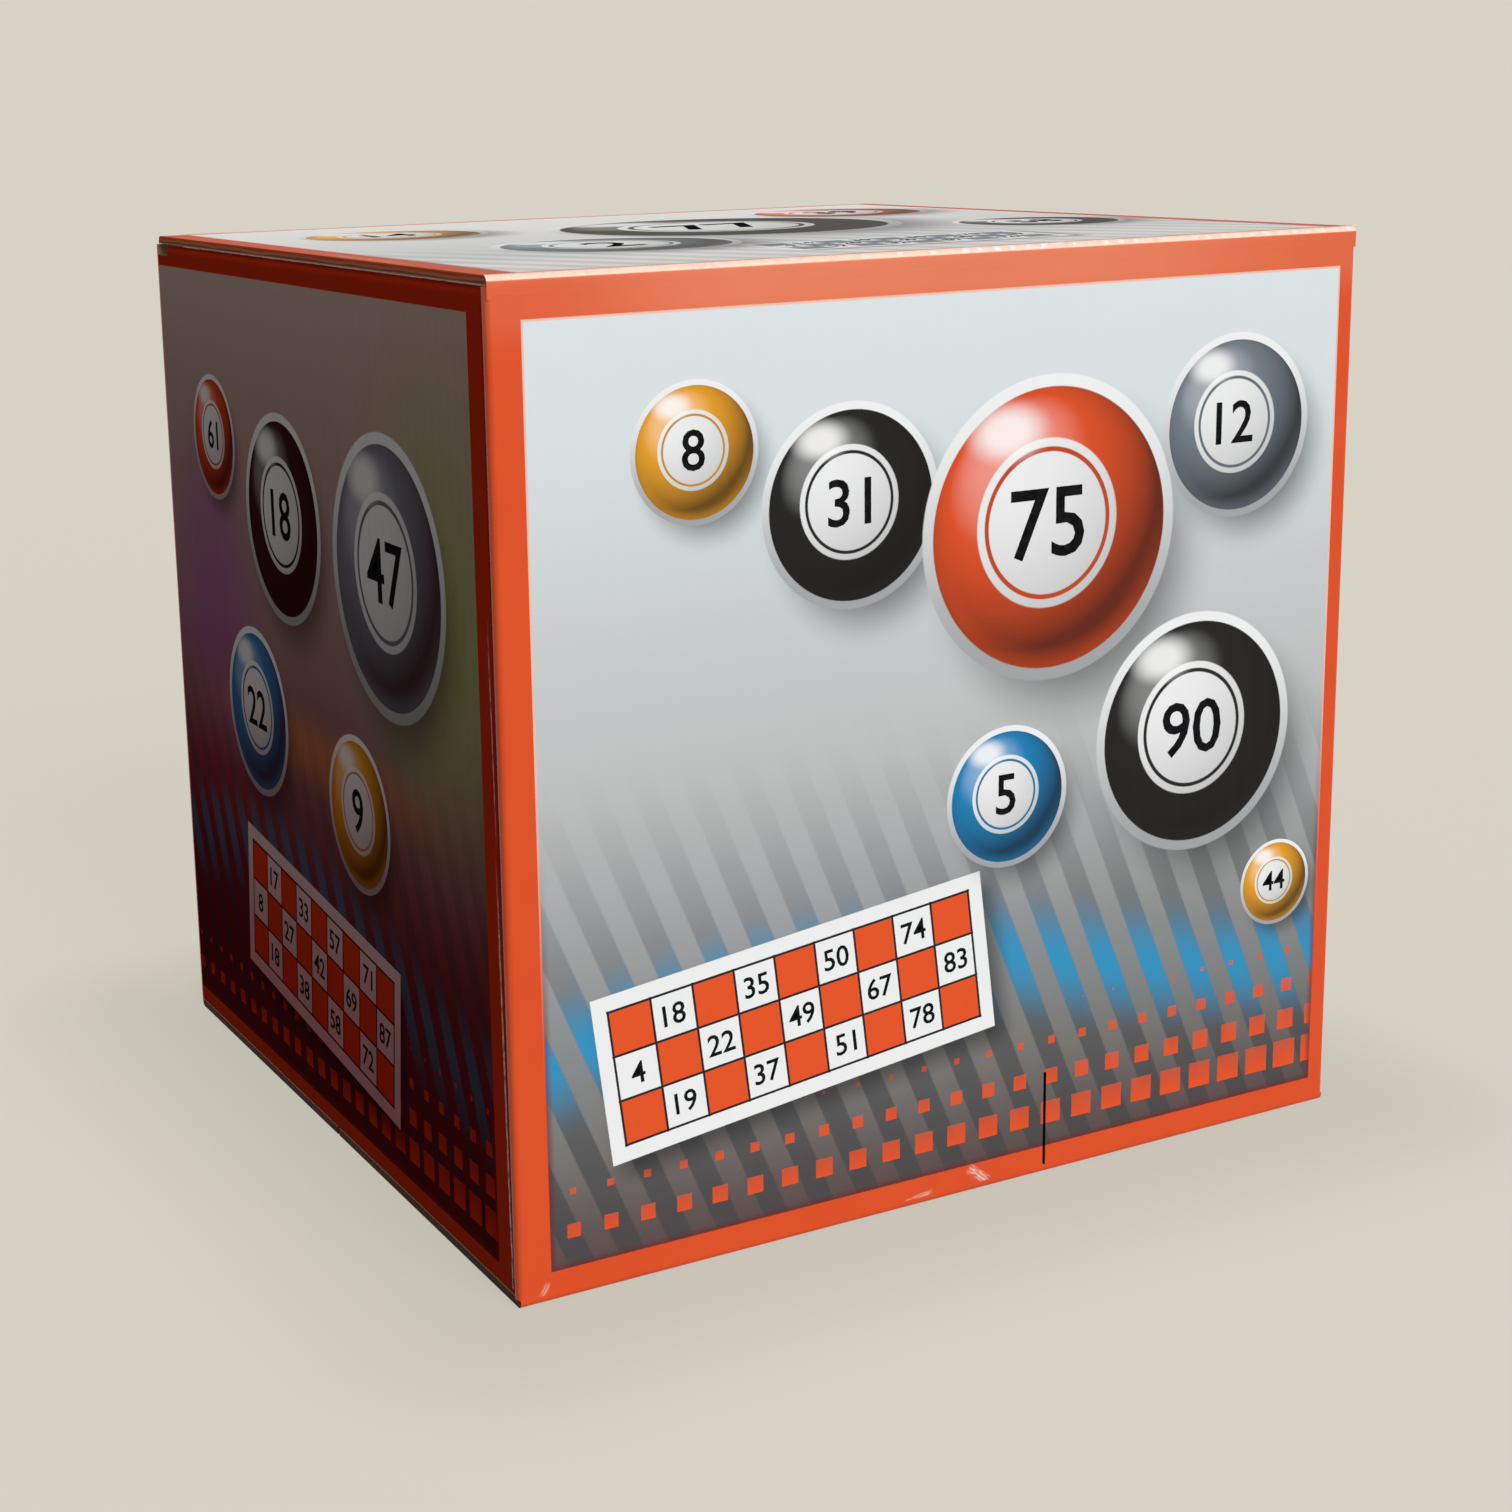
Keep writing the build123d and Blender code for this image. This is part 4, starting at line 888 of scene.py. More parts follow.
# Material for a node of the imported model, picked by its name
def finishFor(name):
    if name in panelMaterials:
        return panelMaterials[name]
    if name.startswith(("cage_ring", "cage_rib", "track")) or name.endswith(("_legs", "_frame")):
        return finishes["coat"]
    if name in ("ball_selector", "crank_grip", "axle_cap") or name.endswith("_bush"):
        return finishes["plastic"]
    others = {
        "cage_set_screws": "screw", "balls_in_cage": "ball", "balls_on_track": "ball",
        "bingo_cards": "cards", "card_band": "paper", "marker_chips": "chip", "chip_bag": "film",
    }
    return finishes[others.get(name, "zinc")]


for name, node in nodes.items():
    node.data.materials.clear()
    node.data.materials.append(finishFor(name))
print("node finishes set")


# Finished piece from a mesh in metres, riding on a body
def addPiece(name, mesh, material, body=None):
    mesh.name = name
    mesh.materials.clear()
    mesh.materials.append(material)
    piece = putInScene(name, mesh)
    if body:
        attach(piece, body)
    return piece


plates = {}


# Closed plate in the shape of a number, one unit high and thick, centred on its middle
def numberPlate(text):
    if text in plates:
        return plates[text]
    curve = bpy.data.curves.new("digits", "FONT")
    curve.body = text
    curve.extrude = 0.5
    curve.offset = numbers["bold"]
    curve.resolution_u = numbers["resolution"]
    holder = putInScene("digits", curve)
    graph = bpy.context.evaluated_depsgraph_get()
    mesh = bpy.data.meshes.new_from_object(holder.evaluated_get(graph))
    bpy.data.objects.remove(holder)
    bpy.data.curves.remove(curve)
    bm = bmesh.new()
    bm.from_mesh(mesh)
    bmesh.ops.remove_doubles(bm, verts=bm.verts, dist=numbers["merge"])
    bmesh.ops.recalc_face_normals(bm, faces=bm.faces)
    xs, ys = [v.co.x for v in bm.verts], [v.co.y for v in bm.verts]
    middle = Vector(((min(xs) + max(xs)) / 2, (min(ys) + max(ys)) / 2, -0.5))
    tall = max(ys) - min(ys)
    for vert in bm.verts:
        vert.co = vert.co - middle
        vert.co.x /= tall
        vert.co.y /= tall
    bm.to_mesh(mesh)
    bm.free()
    plates[text] = mesh
    return mesh


# Adds one number to a mesh: its middle and turn on a face given by corner, right, up and out
def stampNumber(bm, text, plane, across, up, tall, turn=0.0):
    corner, right, upward, out = (Vector(v) for v in plane)
    middle = (corner + right * across + upward * up + out * numbers["lift"]) * mm
    matrix = Matrix((right, upward, out)).transposed().to_4x4()
    matrix = Matrix.Translation(middle) @ matrix @ Matrix.Rotation(turn, 4, "Z")
    matrix = matrix @ Matrix.Diagonal((tall * mm, tall * mm, numbers["thick"] * mm, 1))
    first = len(bm.verts)
    bm.from_mesh(numberPlate(text))
    bm.verts.ensure_lookup_table()
    bmesh.ops.transform(bm, matrix=matrix, verts=bm.verts[first:])


# Numbers of one card on its white cells, as (column, row, number)
def cardNumbers(seed):
    draw, columns = Random(seed), cardLook["columns"]
    for column in range(columns):
        rows = [row for row in (2, 1, 0) if (column + row) % 2]
        first, last = max(1, 10 * column), 90 if column == columns - 1 else 10 * column + 9
        for row, number in zip(rows, sorted(draw.sample(range(first, last + 1), len(rows)))):
            yield column, row, str(number)


numbers = {
    "lift": 0.02, "thick": 0.05, "bold": 0.008, "resolution": 3, "merge": 0.0005,
    "oneHigh": 0.62, "twoHigh": 0.5, "cellHigh": 0.48,
}


def stampCard(bm, plane, across, up, turn, cell, seed):
    middleColumn, middleRow = cardLook["columns"] // 2, cardLook["rows"] // 2
    for column, row, text in cardNumbers(seed):
        x, y = (column - middleColumn) * cell, (row - middleRow) * cell
        stampNumber(bm, text, plane, across + x * cos(turn) - y * sin(turn),
                    up + x * sin(turn) + y * cos(turn), numbers["cellHigh"] * cell, turn)


# All numbers printed on one face of the carton
def makeFaceNumbers(face):
    design, width = prints[face], faces[face][4]
    plane = faces[face][:4]
    bm = bmesh.new()
    for across, up, radius, _, text in design["balls"]:
        tall = radius * width * numbers["oneHigh" if len(text) == 1 else "twoHigh"]
        markX, markY, _ = ballLook["markAt"]
        stampNumber(bm, text, plane, (across + markX * radius) * width,
                    (up + markY * radius) * width, tall)
    for across, up, turn, cell, _, seed in design["cards"]:
        stampCard(bm, plane, across * width, up * width, radians(turn), cell * width, seed)
    addPiece(face + "Numbers", meshOf(bm, face), finishes["numberInk"],
             "lid" if face == "lid" else "carton")


for face in faces:
    makeFaceNumbers(face)


# Numbers on the foremost card of the pack
def makePackNumbers():
    low, top = inMm(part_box("bingo_cards"))
    plane = ((low.x, low.y, low.z), alongX, alongZ, -alongY)
    bm = bmesh.new()
    stampCard(bm, plane, (top.x - low.x) / 2, (top.z - low.z) / 2, 0.0,
              cardFace["cell"], cardFace["seed"])
    addPiece("packNumbers", meshOf(bm, "pack"), finishes["numberInk"], "carton")


makePackNumbers()
print("printed numbers made")

# Skin in mm: lift of its crest, how deep its back lies in the board, radius of the fold
foldLook = {
    "lift": 0.09, "least": 0.02, "sunk": -0.03, "round": 1.5, "arcSteps": 8, "runs": 72,
    # The crest tone and range give a pale crest that is partly rubbed wear and partly painted highlight
    "ripple": 0.05, "rippleScale": 0.06, "crestInk": ink(255, 220, 198), "crest": (0.80, 0.90),
    "margin": 0.3, "tuckInset": 6, "sharp": 50,
}
dashLook = {
    "comb": (1.15, 1.6), "drift": 2.2, "ridge": (0.88, 0.97), "gaps": (0.36, 0.56),
    "start": (-34.0, -8.0), "end": (26.0, 56.0, 1.0, 0.45), "ink": ink(255, 246, 240),
}
# In each fold print, sheen is a painted highlight carried over from the top border
foldPrints = {
    # The crest strength range: partly rubbed wear, partly painted highlight
    "front": {"tails": (3.4, 1.4), "level": 0.3, "deep": 0.0, "sheen": 0.32, "rubAndHighlight": (0.8, 1.0)},
    "tuck": {"tails": (2.4, 1.2), "level": 0.3, "deep": 0.0, "sheen": 0.0, "rubAndHighlight": (0.1, 0.4)},
    # On the side folds, deep darkens the border ink: painted shade like the side faces
    "side": {"tails": (2.6, 1.4), "level": 0.0, "deep": 0.72, "sheen": 0.0, "rubAndHighlight": (0.0, 0.0)},
}


# Printed paper that runs unbroken round a fold. The corner line starts at start and follows
# run; low and back lead away from it along the two faces; tails gives the skin's reach on each.
def foldMesh(name, start, run, length, low, back, tails, seed):
    radius = foldLook["round"]
    profile = [(tails[0] * share + radius, None, full)
               for share, full in ((1.0, 0.0), (0.75, 0.12), (0.4, 0.6))]
    profile += [(None, k / foldLook["arcSteps"] * pi / 2, 1.0)
                for k in range(foldLook["arcSteps"] + 1)]
    profile += [(-tails[1] * share - radius, None, full) for share, full in ((0.5, 0.6), (1.0, 0.0))]
    bm = bmesh.new()
    rows = []
    for step in range(foldLook["runs"] + 1):
        along = start + run * (length * step / foldLook["runs"])
        centre = along + (low + back) * radius
        row = []
        for lifted in (True, False):
            loop = []
            for straight, angle, full in profile:
                spot = along * foldLook["rippleScale"] + Vector((seed, 0, full))
                swell = foldLook["ripple"] * fieldNoise.noise(spot)
                raised = foldLook["sunk"]
                if lifted:
                    raised += foldLook["least"] + full * (foldLook["lift"] + swell)
                if angle is not None:
                    place = centre - (back * cos(angle) + low * sin(angle)) * (radius + raised)
                elif straight > 0:
                    place = along + low * straight - back * raised
                else:
                    place = along - back * straight - low * raised
                loop.append(place)
            row += loop if lifted else reversed(loop)
        rows.append([bm.verts.new(place * mm) for place in row])
    bridge(bm, rows)
    bmesh.ops.recalc_face_normals(bm, faces=bm.faces)
    mesh = meshOf(bm, name)
    mesh.shade_smooth()
    mesh.set_sharp_from_angle(angle=radians(foldLook["sharp"]))
    return mesh


# Print on a fold: border ink, a pale crest that is partly rubbed wear and partly painted highlight, white
# dashes where the flutes press through
def makeFoldPrint(name, crest, look, dashes=False):
    material, tree, shader = newMaterial(name, Roughness=0.3, IOR=1.5,
                                         Specular_IOR_Level=look["level"])
    point, facing = objectPoint(tree), surfaceNormal(tree)
    x = split(tree, point)[0]
    rubAndHighlight = noise(tree, point, 0.5, 4.0, 0.6)
    ridge = vec(tree, "DOT_PRODUCT", facing, crest.normalized())
    # Painted highlight along the crest, partly rubbed wear
    glow = times(tree, fade(tree, ridge, *foldLook["crest"]),
                fade(tree, rubAndHighlight, 0.25, 0.6, *look["rubAndHighlight"]))
    colour = tint(tree, look["deep"], borderTone(tree, point), inks["borderDark"])
    # Painted highlight: the top border's sheen carried onto the fold
    sheen = times(tree, sheenShare(tree, calc(tree, "ADD", x, half.x)), look["sheen"])
    colour = tint(tree, sheen, colour, inks["borderPale"])
    colour = tint(tree, glow, colour, foldLook["crestInk"])
    if dashes:
        comb = calc(tree, "PINGPONG", scaled(tree, rubAndHighlight, dashLook["drift"], x), board["flute"] / 2)
        dash = times(tree, fade(tree, comb, *dashLook["comb"]), fade(tree, ridge, *dashLook["ridge"]),
                     fade(tree, noise(tree, point, 0.3, 3.0), *dashLook["gaps"]),
                     fade(tree, x, *dashLook["start"]), fade(tree, x, *dashLook["end"]))
        colour = tint(tree, dash, colour, dashLook["ink"])
    plug(tree, shader.inputs["Base Color"], colour)
    plug(tree, shader.inputs["Normal"], bump(tree, rubAndHighlight, 0.06 * mm))
    return material


# Folds of the lid, its tuck flap and the two dust flaps
def makeFolds():
    radius, margin, inset = foldLook["round"], foldLook["margin"], foldLook["tuckInset"]
    low, top = inMm(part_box("carton_lid"))
    front = foldMesh("frontFold", Vector((low.x, low.y, top.z)), alongX, top.x - low.x,
                     -alongZ, alongY, foldPrints["front"]["tails"], 1)
    material = makeFoldPrint("frontFoldPrint", alongZ - alongY, foldPrints["front"], True)
    piece = addPiece("frontFold", front, material)
    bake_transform(piece, "carton", "lid", Vector((0, low.y, low.z - margin)) * mm,
             Vector((0, low.y + radius, top.z)) * mm)
    tuck = foldMesh("tuckFold", Vector((top.x - inset, top.y, top.z)), -alongX,
                    top.x - low.x - 2 * inset, -alongZ, -alongY, foldPrints["tuck"]["tails"], 2)
    material = makeFoldPrint("tuckFoldPrint", alongZ + alongY, foldPrints["tuck"])
    piece = addPiece("tuckFold", tuck, material)
    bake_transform(piece, "lid", "tuck_flap", Vector((0, top.y - radius, top.z)) * mm,
             Vector((0, top.y, low.z - margin)) * mm)
    for side, way in (("left", -1), ("right", 1)):
        flapTop = inMm(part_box("carton_" + side + "_dust_flap"))[1]
        panelLow, panelTop = inMm(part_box("carton_" + side + "_panel"))
        edgeX = way * half.x
        mesh = foldMesh(side + "Fold", Vector((edgeX, panelLow.y + 0.1, flapTop.z)), alongY,
                        flapTop.y - panelLow.y, -alongZ, -way * alongX,
                        foldPrints["side"]["tails"], 3 + way)
        material = makeFoldPrint(side + "FoldPrint", alongZ + way * alongX, foldPrints["side"])
        piece = addPiece(side + "Fold", mesh, material)
        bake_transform(piece, "carton", side + "_dust_flap", Vector((edgeX, 0, panelTop.z)) * mm,
                 Vector((edgeX - way * radius, 0, flapTop.z)) * mm)


makeFolds()
print("fold skins made")


# Geometry Nodes tree with named inputs and a material to set; returns it with its input sockets
def newGrowth(name, inputs):
    tree = bpy.data.node_groups.new(name, "GeometryNodeTree")
    tree.interface.new_socket("Geometry", in_out="INPUT", socket_type="NodeSocketGeometry")
    for label, kind in inputs:
        tree.interface.new_socket(label, in_out="INPUT", socket_type="NodeSocket" + kind)
    tree.interface.new_socket("Geometry", in_out="OUTPUT", socket_type="NodeSocketGeometry")
    return tree, tree.nodes.new("NodeGroupInput").outputs, tree.nodes.new("NodeGroupOutput").inputs


# Last node of a tree: sets the material that it was given
def endTree(tree, geometry, given, out):
    finish = add(tree, "GeometryNodeSetMaterial", {"Geometry": geometry, "Material": given["Finish"]})
    plug(tree, out["Geometry"], finish.outputs["Geometry"])


# Runs a tree on a mesh and gives the result as a plain mesh
def grow(name, mesh, tree, **values):
    holder = putInScene(name + "Seed", mesh)
    modifier = holder.modifiers.new("growth", "NODES")
    modifier.node_group = tree
    for item in tree.interface.items_tree:
        label = item.name.replace(" ", "_")
        if item.item_type == "SOCKET" and item.in_out == "INPUT" and label in values:
            modifier[item.identifier] = values[label]
    graph = bpy.context.evaluated_depsgraph_get()
    result = bpy.data.meshes.new_from_object(holder.evaluated_get(graph))
    holder.modifiers.clear()
    bpy.data.objects.remove(holder)
    return result


# Round beads at given points, their sizes drawn between the least and the most
def makeBeadTree(name, fineness):
    tree, given, out = newGrowth(name, [
        ("Bead radius", "Float"), ("Least size", "Float"), ("Most size", "Float"),
        ("Seed", "Int"), ("Finish", "Material"),
    ])
    ball = add(tree, "GeometryNodeMeshIcoSphere", {
        "Subdivisions": fineness, "Radius": given["Bead radius"]})
    drawn = tree.nodes.new("FunctionNodeRandomValue")
    drawn.data_type = "FLOAT_VECTOR"
    for label, source in (("Min", "Least size"), ("Max", "Most size"), ("Seed", "Seed")):
        plug(tree, drawn.inputs[label], given[source])
    placed = add(tree, "GeometryNodeInstanceOnPoints", {
        "Points": given["Geometry"], "Instance": ball.outputs["Mesh"],
        "Scale": drawn.outputs["Value"]})
    real = add(tree, "GeometryNodeRealizeInstances", {"Geometry": placed.outputs["Instances"]})
    endTree(tree, real.outputs["Geometry"], given, out)
    return tree


weld = {
    "radius": 1.15, "least": 0.8, "most": 1.25, "seed": 5, "apart": 5.0, "ringWire": 2.2,
    "fineness": 2, "footRise": 0.1,
}


def pointMesh(points):
    mesh = bpy.data.meshes.new("points")
    mesh.from_pydata([p * mm for p in points], [], [])
    return mesh


# Where the ribs cross the rings of the cage
def cageWelds():
    axleLow, axleTop = inMm(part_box("cage_axle"))
    axle = (axleLow + axleTop) / 2
    rings = []
    for name in sorted(n for n in nodes if n.startswith("cage_ring")):
        low, top = inMm(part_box(name))
        rings.append(((low.x + top.x) / 2, (top.y - low.y - weld["ringWire"]) / 2))
    rings.sort()
    points = []
    for name in sorted(n for n in nodes if n.startswith("cage_rib")):
        low, top = inMm(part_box(name))
        away = (low + top) / 2 - axle
        away = Vector((0, away.y, away.z)).normalized()
        for k, (x, radius) in enumerate(rings):
            before, after = rings[max(k - 1, 0)], rings[min(k + 1, len(rings) - 1)]
            slope = Vector((after[0] - before[0], after[1] - before[1])).normalized()
            normal = alongX * -slope.y + away * slope.x
            middle = Vector((x, axle.y, axle.z)) + away * radius
            points.append(middle + normal * weld["ringWire"] / 2)
    return points


# Lowest places of a wire, where it is welded to the base frame under it
def footWelds(name):
    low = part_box(name)[0].z / mm
    points = []
    for vert in nodes[name].data.vertices:
        place = vert.co / mm
        apart = all((place - other).length > weld["apart"] for other in points)
        if place.z < low + weld["footRise"] and apart:
            points.append(place)
    return points


def makeWelds():
    tree = makeBeadTree("weldBeads", weld["fineness"])
    settings = dict(Bead_radius=weld["radius"] * mm, Least_size=weld["least"],
                    Most_size=weld["most"], Seed=weld["seed"], Finish=finishes["coat"])
    feet = []
    for name in ("stand_front_legs", "stand_rear_legs", "track_front_cradle", "track_rear_cradle"):
        feet += footWelds(name)
    for name, points, body in (("cageWelds", cageWelds(), "cage"), ("standWelds", feet, "carton")):
        mesh = grow(name, pointMesh(points), tree, **settings)
        mesh.shade_smooth()
        addPiece(name, mesh, finishes["coat"], body)
        print(name, len(points))


makeWelds()


# Separate shells of a node as (middle, half size), in mm
def shellsOf(name):
    bm = bmesh.new()
    bm.from_mesh(nodes[name].data)
    bmesh.ops.remove_doubles(bm, verts=bm.verts, dist=0.001 * mm)
    shells, seen = [], set()
    for vert in bm.verts:
        if vert in seen:
            continue
        seen.add(vert)
        group, queue = [], [vert]
        while queue:
            here = queue.pop()
            group.append(here.co / mm)
            for edge in here.link_edges:
                other = edge.other_vert(here)
                if other not in seen:
                    seen.add(other)
                    queue.append(other)
        low = Vector([min(p[k] for p in group) for k in range(3)])
        top = Vector([max(p[k] for p in group) for k in range(3)])
        shells.append(((low + top) / 2, (top - low) / 2))
    bm.free()
    return shells


ballPrint = {
    "tall": 5.6, "grid": 1.0, "sides": 2, "seed": 90, "thick": 0.04, "lift": 0.012, "fineness": 4,
}


# Number plate cut into small faces so that it can follow a ball, lying at the ball's radius
def ballPlate(text, radius):
    bm = bmesh.new()
    bm.from_mesh(numberPlate(text))
    layer = bm.verts.layers.float.new("raised")
    tall, grid = ballPrint["tall"], ballPrint["grid"]
    for vert in bm.verts:
        vert[layer] = (ballPrint["lift"] + vert.co.z * ballPrint["thick"]) * mm
        vert.co = Vector((vert.co.x * tall, vert.co.y * tall, radius)) * mm
    reach = int(tall / grid) + 1
    for axis in (alongX, alongY):
        for k in range(-reach, reach + 1):
            geometry = bm.verts[:] + bm.edges[:] + bm.faces[:]
            bmesh.ops.bisect_plane(bm, geom=geometry, plane_co=axis * k * grid * mm, plane_no=axis)
    bmesh.ops.triangulate(bm, faces=[f for f in bm.faces if len(f.verts) > 4])
    return bpy.data.objects.new("plate" + text.zfill(2), meshOf(bm, "plate" + text))


# Puts a number on each point's ball and wraps it round the ball
def makeWrapTree():
    tree, given, out = newGrowth("ballNumbers", [
        ("Plates", "Collection"), ("Ball radius", "Float"), ("Finish", "Material"),
    ])

    def named(label, kind):
        node = add(tree, "GeometryNodeInputNamedAttribute", {"Name": label}, data_type=kind)
        return node.outputs["Attribute"]

    where = tree.nodes.new("GeometryNodeInputPosition").outputs["Position"]
    keep = add(tree, "GeometryNodeStoreNamedAttribute", {
        "Name": "hub", "Geometry": given["Geometry"], "Value": where}, data_type="FLOAT_VECTOR")
    plateSet = add(tree, "GeometryNodeCollectionInfo", {
        "Separate Children": True, "Reset Children": True, "Collection": given["Plates"]})
    turn = add(tree, "FunctionNodeEulerToRotation", {"Euler": named("turn", "FLOAT_VECTOR")})
    placed = add(tree, "GeometryNodeInstanceOnPoints", {
        "Pick Instance": True, "Points": keep.outputs["Geometry"],
        "Instance": plateSet.outputs["Instances"], "Instance Index": named("pick", "INT"),
        "Rotation": turn.outputs["Rotation"]})
    real = add(tree, "GeometryNodeRealizeInstances", {"Geometry": placed.outputs["Instances"]})
    hub = named("hub", "FLOAT_VECTOR")
    away = vec(tree, "NORMALIZE", vec(tree, "SUBTRACT", where, hub))
    reach = calc(tree, "ADD", given["Ball radius"], named("raised", "FLOAT"))
    spot = vec(tree, "ADD", hub, stretch(tree, away, reach))
    move = add(tree, "GeometryNodeSetPosition", {
        "Geometry": real.outputs["Geometry"], "Position": spot})
    endTree(tree, move.outputs["Geometry"], given, out)
    return tree


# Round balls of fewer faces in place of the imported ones
def makeRoundBalls(name, node, middles, radius):
    tree = makeBeadTree("roundBalls", ballPrint["fineness"])
    mesh = grow(name, pointMesh(middles), tree, Bead_radius=radius * mm, Least_size=1.0,
                Most_size=1.0, Seed=0, Finish=finishes["ball"])
    mesh.shade_smooth()
    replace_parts(addPiece(name, mesh, finishes["ball"], "carton"), node)


def makeBallNumbers():
    draw = Random(ballPrint["seed"])
    order = draw.sample(range(90), 90)
    sets = [("balls_in_cage", "cageBallNumbers"), ("balls_on_track", "trackBallNumbers")]
    shells = {name: shellsOf(name) for name, _ in sets}
    radius = shells["balls_on_track"][0][1].y
    collection = bpy.data.collections.new("plates")
    for number in range(1, 91):
        collection.objects.link(ballPlate(str(number), radius))
    tree = makeWrapTree()
    for node, name in sets:
        points, picks, turns = [], [], []
        for middle, _ in shells[node]:
            pick = order.pop()
            for _ in range(ballPrint["sides"]):
                points.append(middle)
                picks.append(pick)
                turns += [draw.uniform(0, 2 * pi) for _ in range(3)]
        seed = pointMesh(points)
        seed.attributes.new("pick", "INT", "POINT").data.foreach_set("value", picks)
        seed.attributes.new("turn", "FLOAT_VECTOR", "POINT").data.foreach_set("vector", turns)
        mesh = grow(name, seed, tree, Plates=collection, Ball_radius=radius * mm,
                    Finish=finishes["numberInk"])
        addPiece(name, mesh, finishes["numberInk"], body_of(nodes[node])[0])
        print(name, len(shells[node]), "balls,", len(mesh.polygons), "faces")
    for plate in list(collection.objects):
        bpy.data.objects.remove(plate)
    bpy.data.collections.remove(collection)
    middles = [middle for middle, _ in shells["balls_in_cage"]]
    makeRoundBalls("cageBalls", "balls_in_cage", middles, radius)


makeBallNumbers()

pouch = {
    "around": 120, "along": 40, "clear": 0.5, "crinkle": 0.22, "pleats": 22, "capRings": 9,
    "margin": 0.12, "pole": 0.15, "endRound": 0.9, "pleatDepth": (0.12, 0.1), "rough": 720,
    "seed": 4, "finSteps": 96, "finShift": 1.5, "finDown": 0.26, "finWidth": 3.4, "finThick": 0.12,
    "finWave": 0.05, "finRagged": 0.2, "finInset": 0.5, "finBeat": 4, "finRate": 0.3,
    "swell": 2.0, "swellRate": 0.11, "crinkleRate": (0.22, 0.3),
}


# Even points round the rolls of chips: the outline that tight film takes across them
def filmOutline(centres, radius):
    rough = []
    for k in range(pouch["rough"]):
        angle = k * 2 * pi / pouch["rough"]
        ray = Vector((cos(angle), sin(angle)))
        rough.append(max(centres, key=lambda c: c.dot(ray)) + ray * radius)
    lengths = [(rough[k] - rough[k - 1]).length for k in range(len(rough))]
    total, outline, walked = sum(lengths), [], 0.0
    for k, length in enumerate(lengths):
        while len(outline) < pouch["around"]:
            ahead = len(outline) * total / pouch["around"] - walked
            if length <= ahead:
                break
            outline.append(rough[k - 1].lerp(rough[k], ahead / length if length else 0.0))
        walked += length
    return outline


# Tight film round the chips, gathered in pleats at both ends, with its seam laid flat on top
def makePouch():
    low, top = inMm(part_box("chip_bag"))
    chips = shellsOf("marker_chips")
    radius = chips[0][1].y
    centres = [Vector((middle.y, middle.z)) for middle, _ in chips]
    outline = filmOutline(centres, radius + pouch["clear"])
    heart = sum(outline, Vector((0, 0))) / len(outline)
    left, right, capRings = low.x + pouch["margin"], top.x - pouch["margin"], pouch["capRings"]
    rows = [(left, ring / capRings, 1) for ring in range(1, capRings)]
    rows += [(left + (right - left) * step / pouch["along"], 1.0, 0)
             for step in range(pouch["along"] + 1)]
    rows += [(right, ring / capRings, -1) for ring in range(capRings - 1, 0, -1)]
    bm = bmesh.new()
    loops = []
    flat, deep = pouch["pleatDepth"]
    rateAlong, rateAcross = pouch["crinkleRate"]
    for x, share, cap in rows:
        near = min(x - left, right - x)
        inset = pouch["endRound"] * max(0.0, 1.0 - near / pouch["endRound"]) ** 2 * 0.5
        loop = []
        for k, place in enumerate(outline):
            swell = fieldNoise.noise(Vector((k * pouch["swellRate"], pouch["seed"], 0.3)))
            fold = sin(2 * pi * pouch["pleats"] * k / pouch["around"] + pouch["swell"] * swell)
            crinkle = fieldNoise.noise(
                Vector((x * rateAlong, place.x * rateAcross, place.y * rateAcross)))
            spot = place + (place - heart).normalized() * (pouch["crinkle"] * crinkle - inset)
            spot = heart + (spot - heart) * share
            depth = cap * (flat + deep * fold * share) if cap else 0.0
            loop.append(bm.verts.new(Vector((x + depth, spot.x, spot.y)) * mm))
        loops.append(loop)
    bridge(bm, loops, False)
    for loop, x in ((loops[0], left + pouch["pole"]), (loops[-1], right - pouch["pole"])):
        pole = bm.verts.new(Vector((x, heart.x, heart.y)) * mm)
        for k in range(len(loop)):
            bm.faces.new((pole, loop[(k + 1) % len(loop)], loop[k]))
    addFin(bm, low, top)
    bmesh.ops.recalc_face_normals(bm, faces=bm.faces)
    mesh = meshOf(bm, "chipPouch")
    mesh.shade_smooth()
    piece = addPiece("chipPouch", mesh, finishes["film"], "carton")
    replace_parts(piece, "chip_bag")


# Heat seal: a narrow crimped strip lying along the top of the film
def addFin(bm, low, top):
    steps, inset = pouch["finSteps"], pouch["finInset"]
    middleY = (low.y + top.y) / 2 + pouch["finShift"]
    rows = []
    for step in range(steps + 1):
        x = low.x + inset + (top.x - low.x - 2 * inset) * step / steps
        level = top.z - pouch["finDown"] + pouch["finWave"] * sin(2 * pi * step / pouch["finBeat"])
        spot = Vector((x * pouch["finRate"], 7.0, pouch["seed"]))
        ragged = pouch["finRagged"] * fieldNoise.noise(spot)
        near, far = middleY - pouch["finWidth"] / 2, middleY + pouch["finWidth"] / 2 + ragged
        over = level + pouch["finThick"]
        corners = ((near, level), (far, level), (far, over), (near, over))
        rows.append([bm.verts.new(Vector((x, y, z)) * mm) for y, z in corners])
    bridge(bm, rows)


makePouch()
print("chip pouch made")

# Stage, lights and camera
stage = {
    "tone": ink(216, 210, 198), "bounce": ink(118, 114, 108), "lift": 0.82, "reach": 4.0,
    # The contact values paint a soft shadow on the floor round the carton
    "ambient": 0.29, "contactShadow": 0.42, "contactShadowTone": ink(176, 174, 160), "contactShadowReach": 68.0,
    "level": 1.043, "keyTurn": 8.0, "keyTilt": 66.0, "keySize": 44.0, "keyPower": 2.68,
    "fillTurn": 150.0, "fillTilt": 66.0, "fillPower": 1.3, "sides": 96, "sunk": 0.05, "rough": 0.9,
}


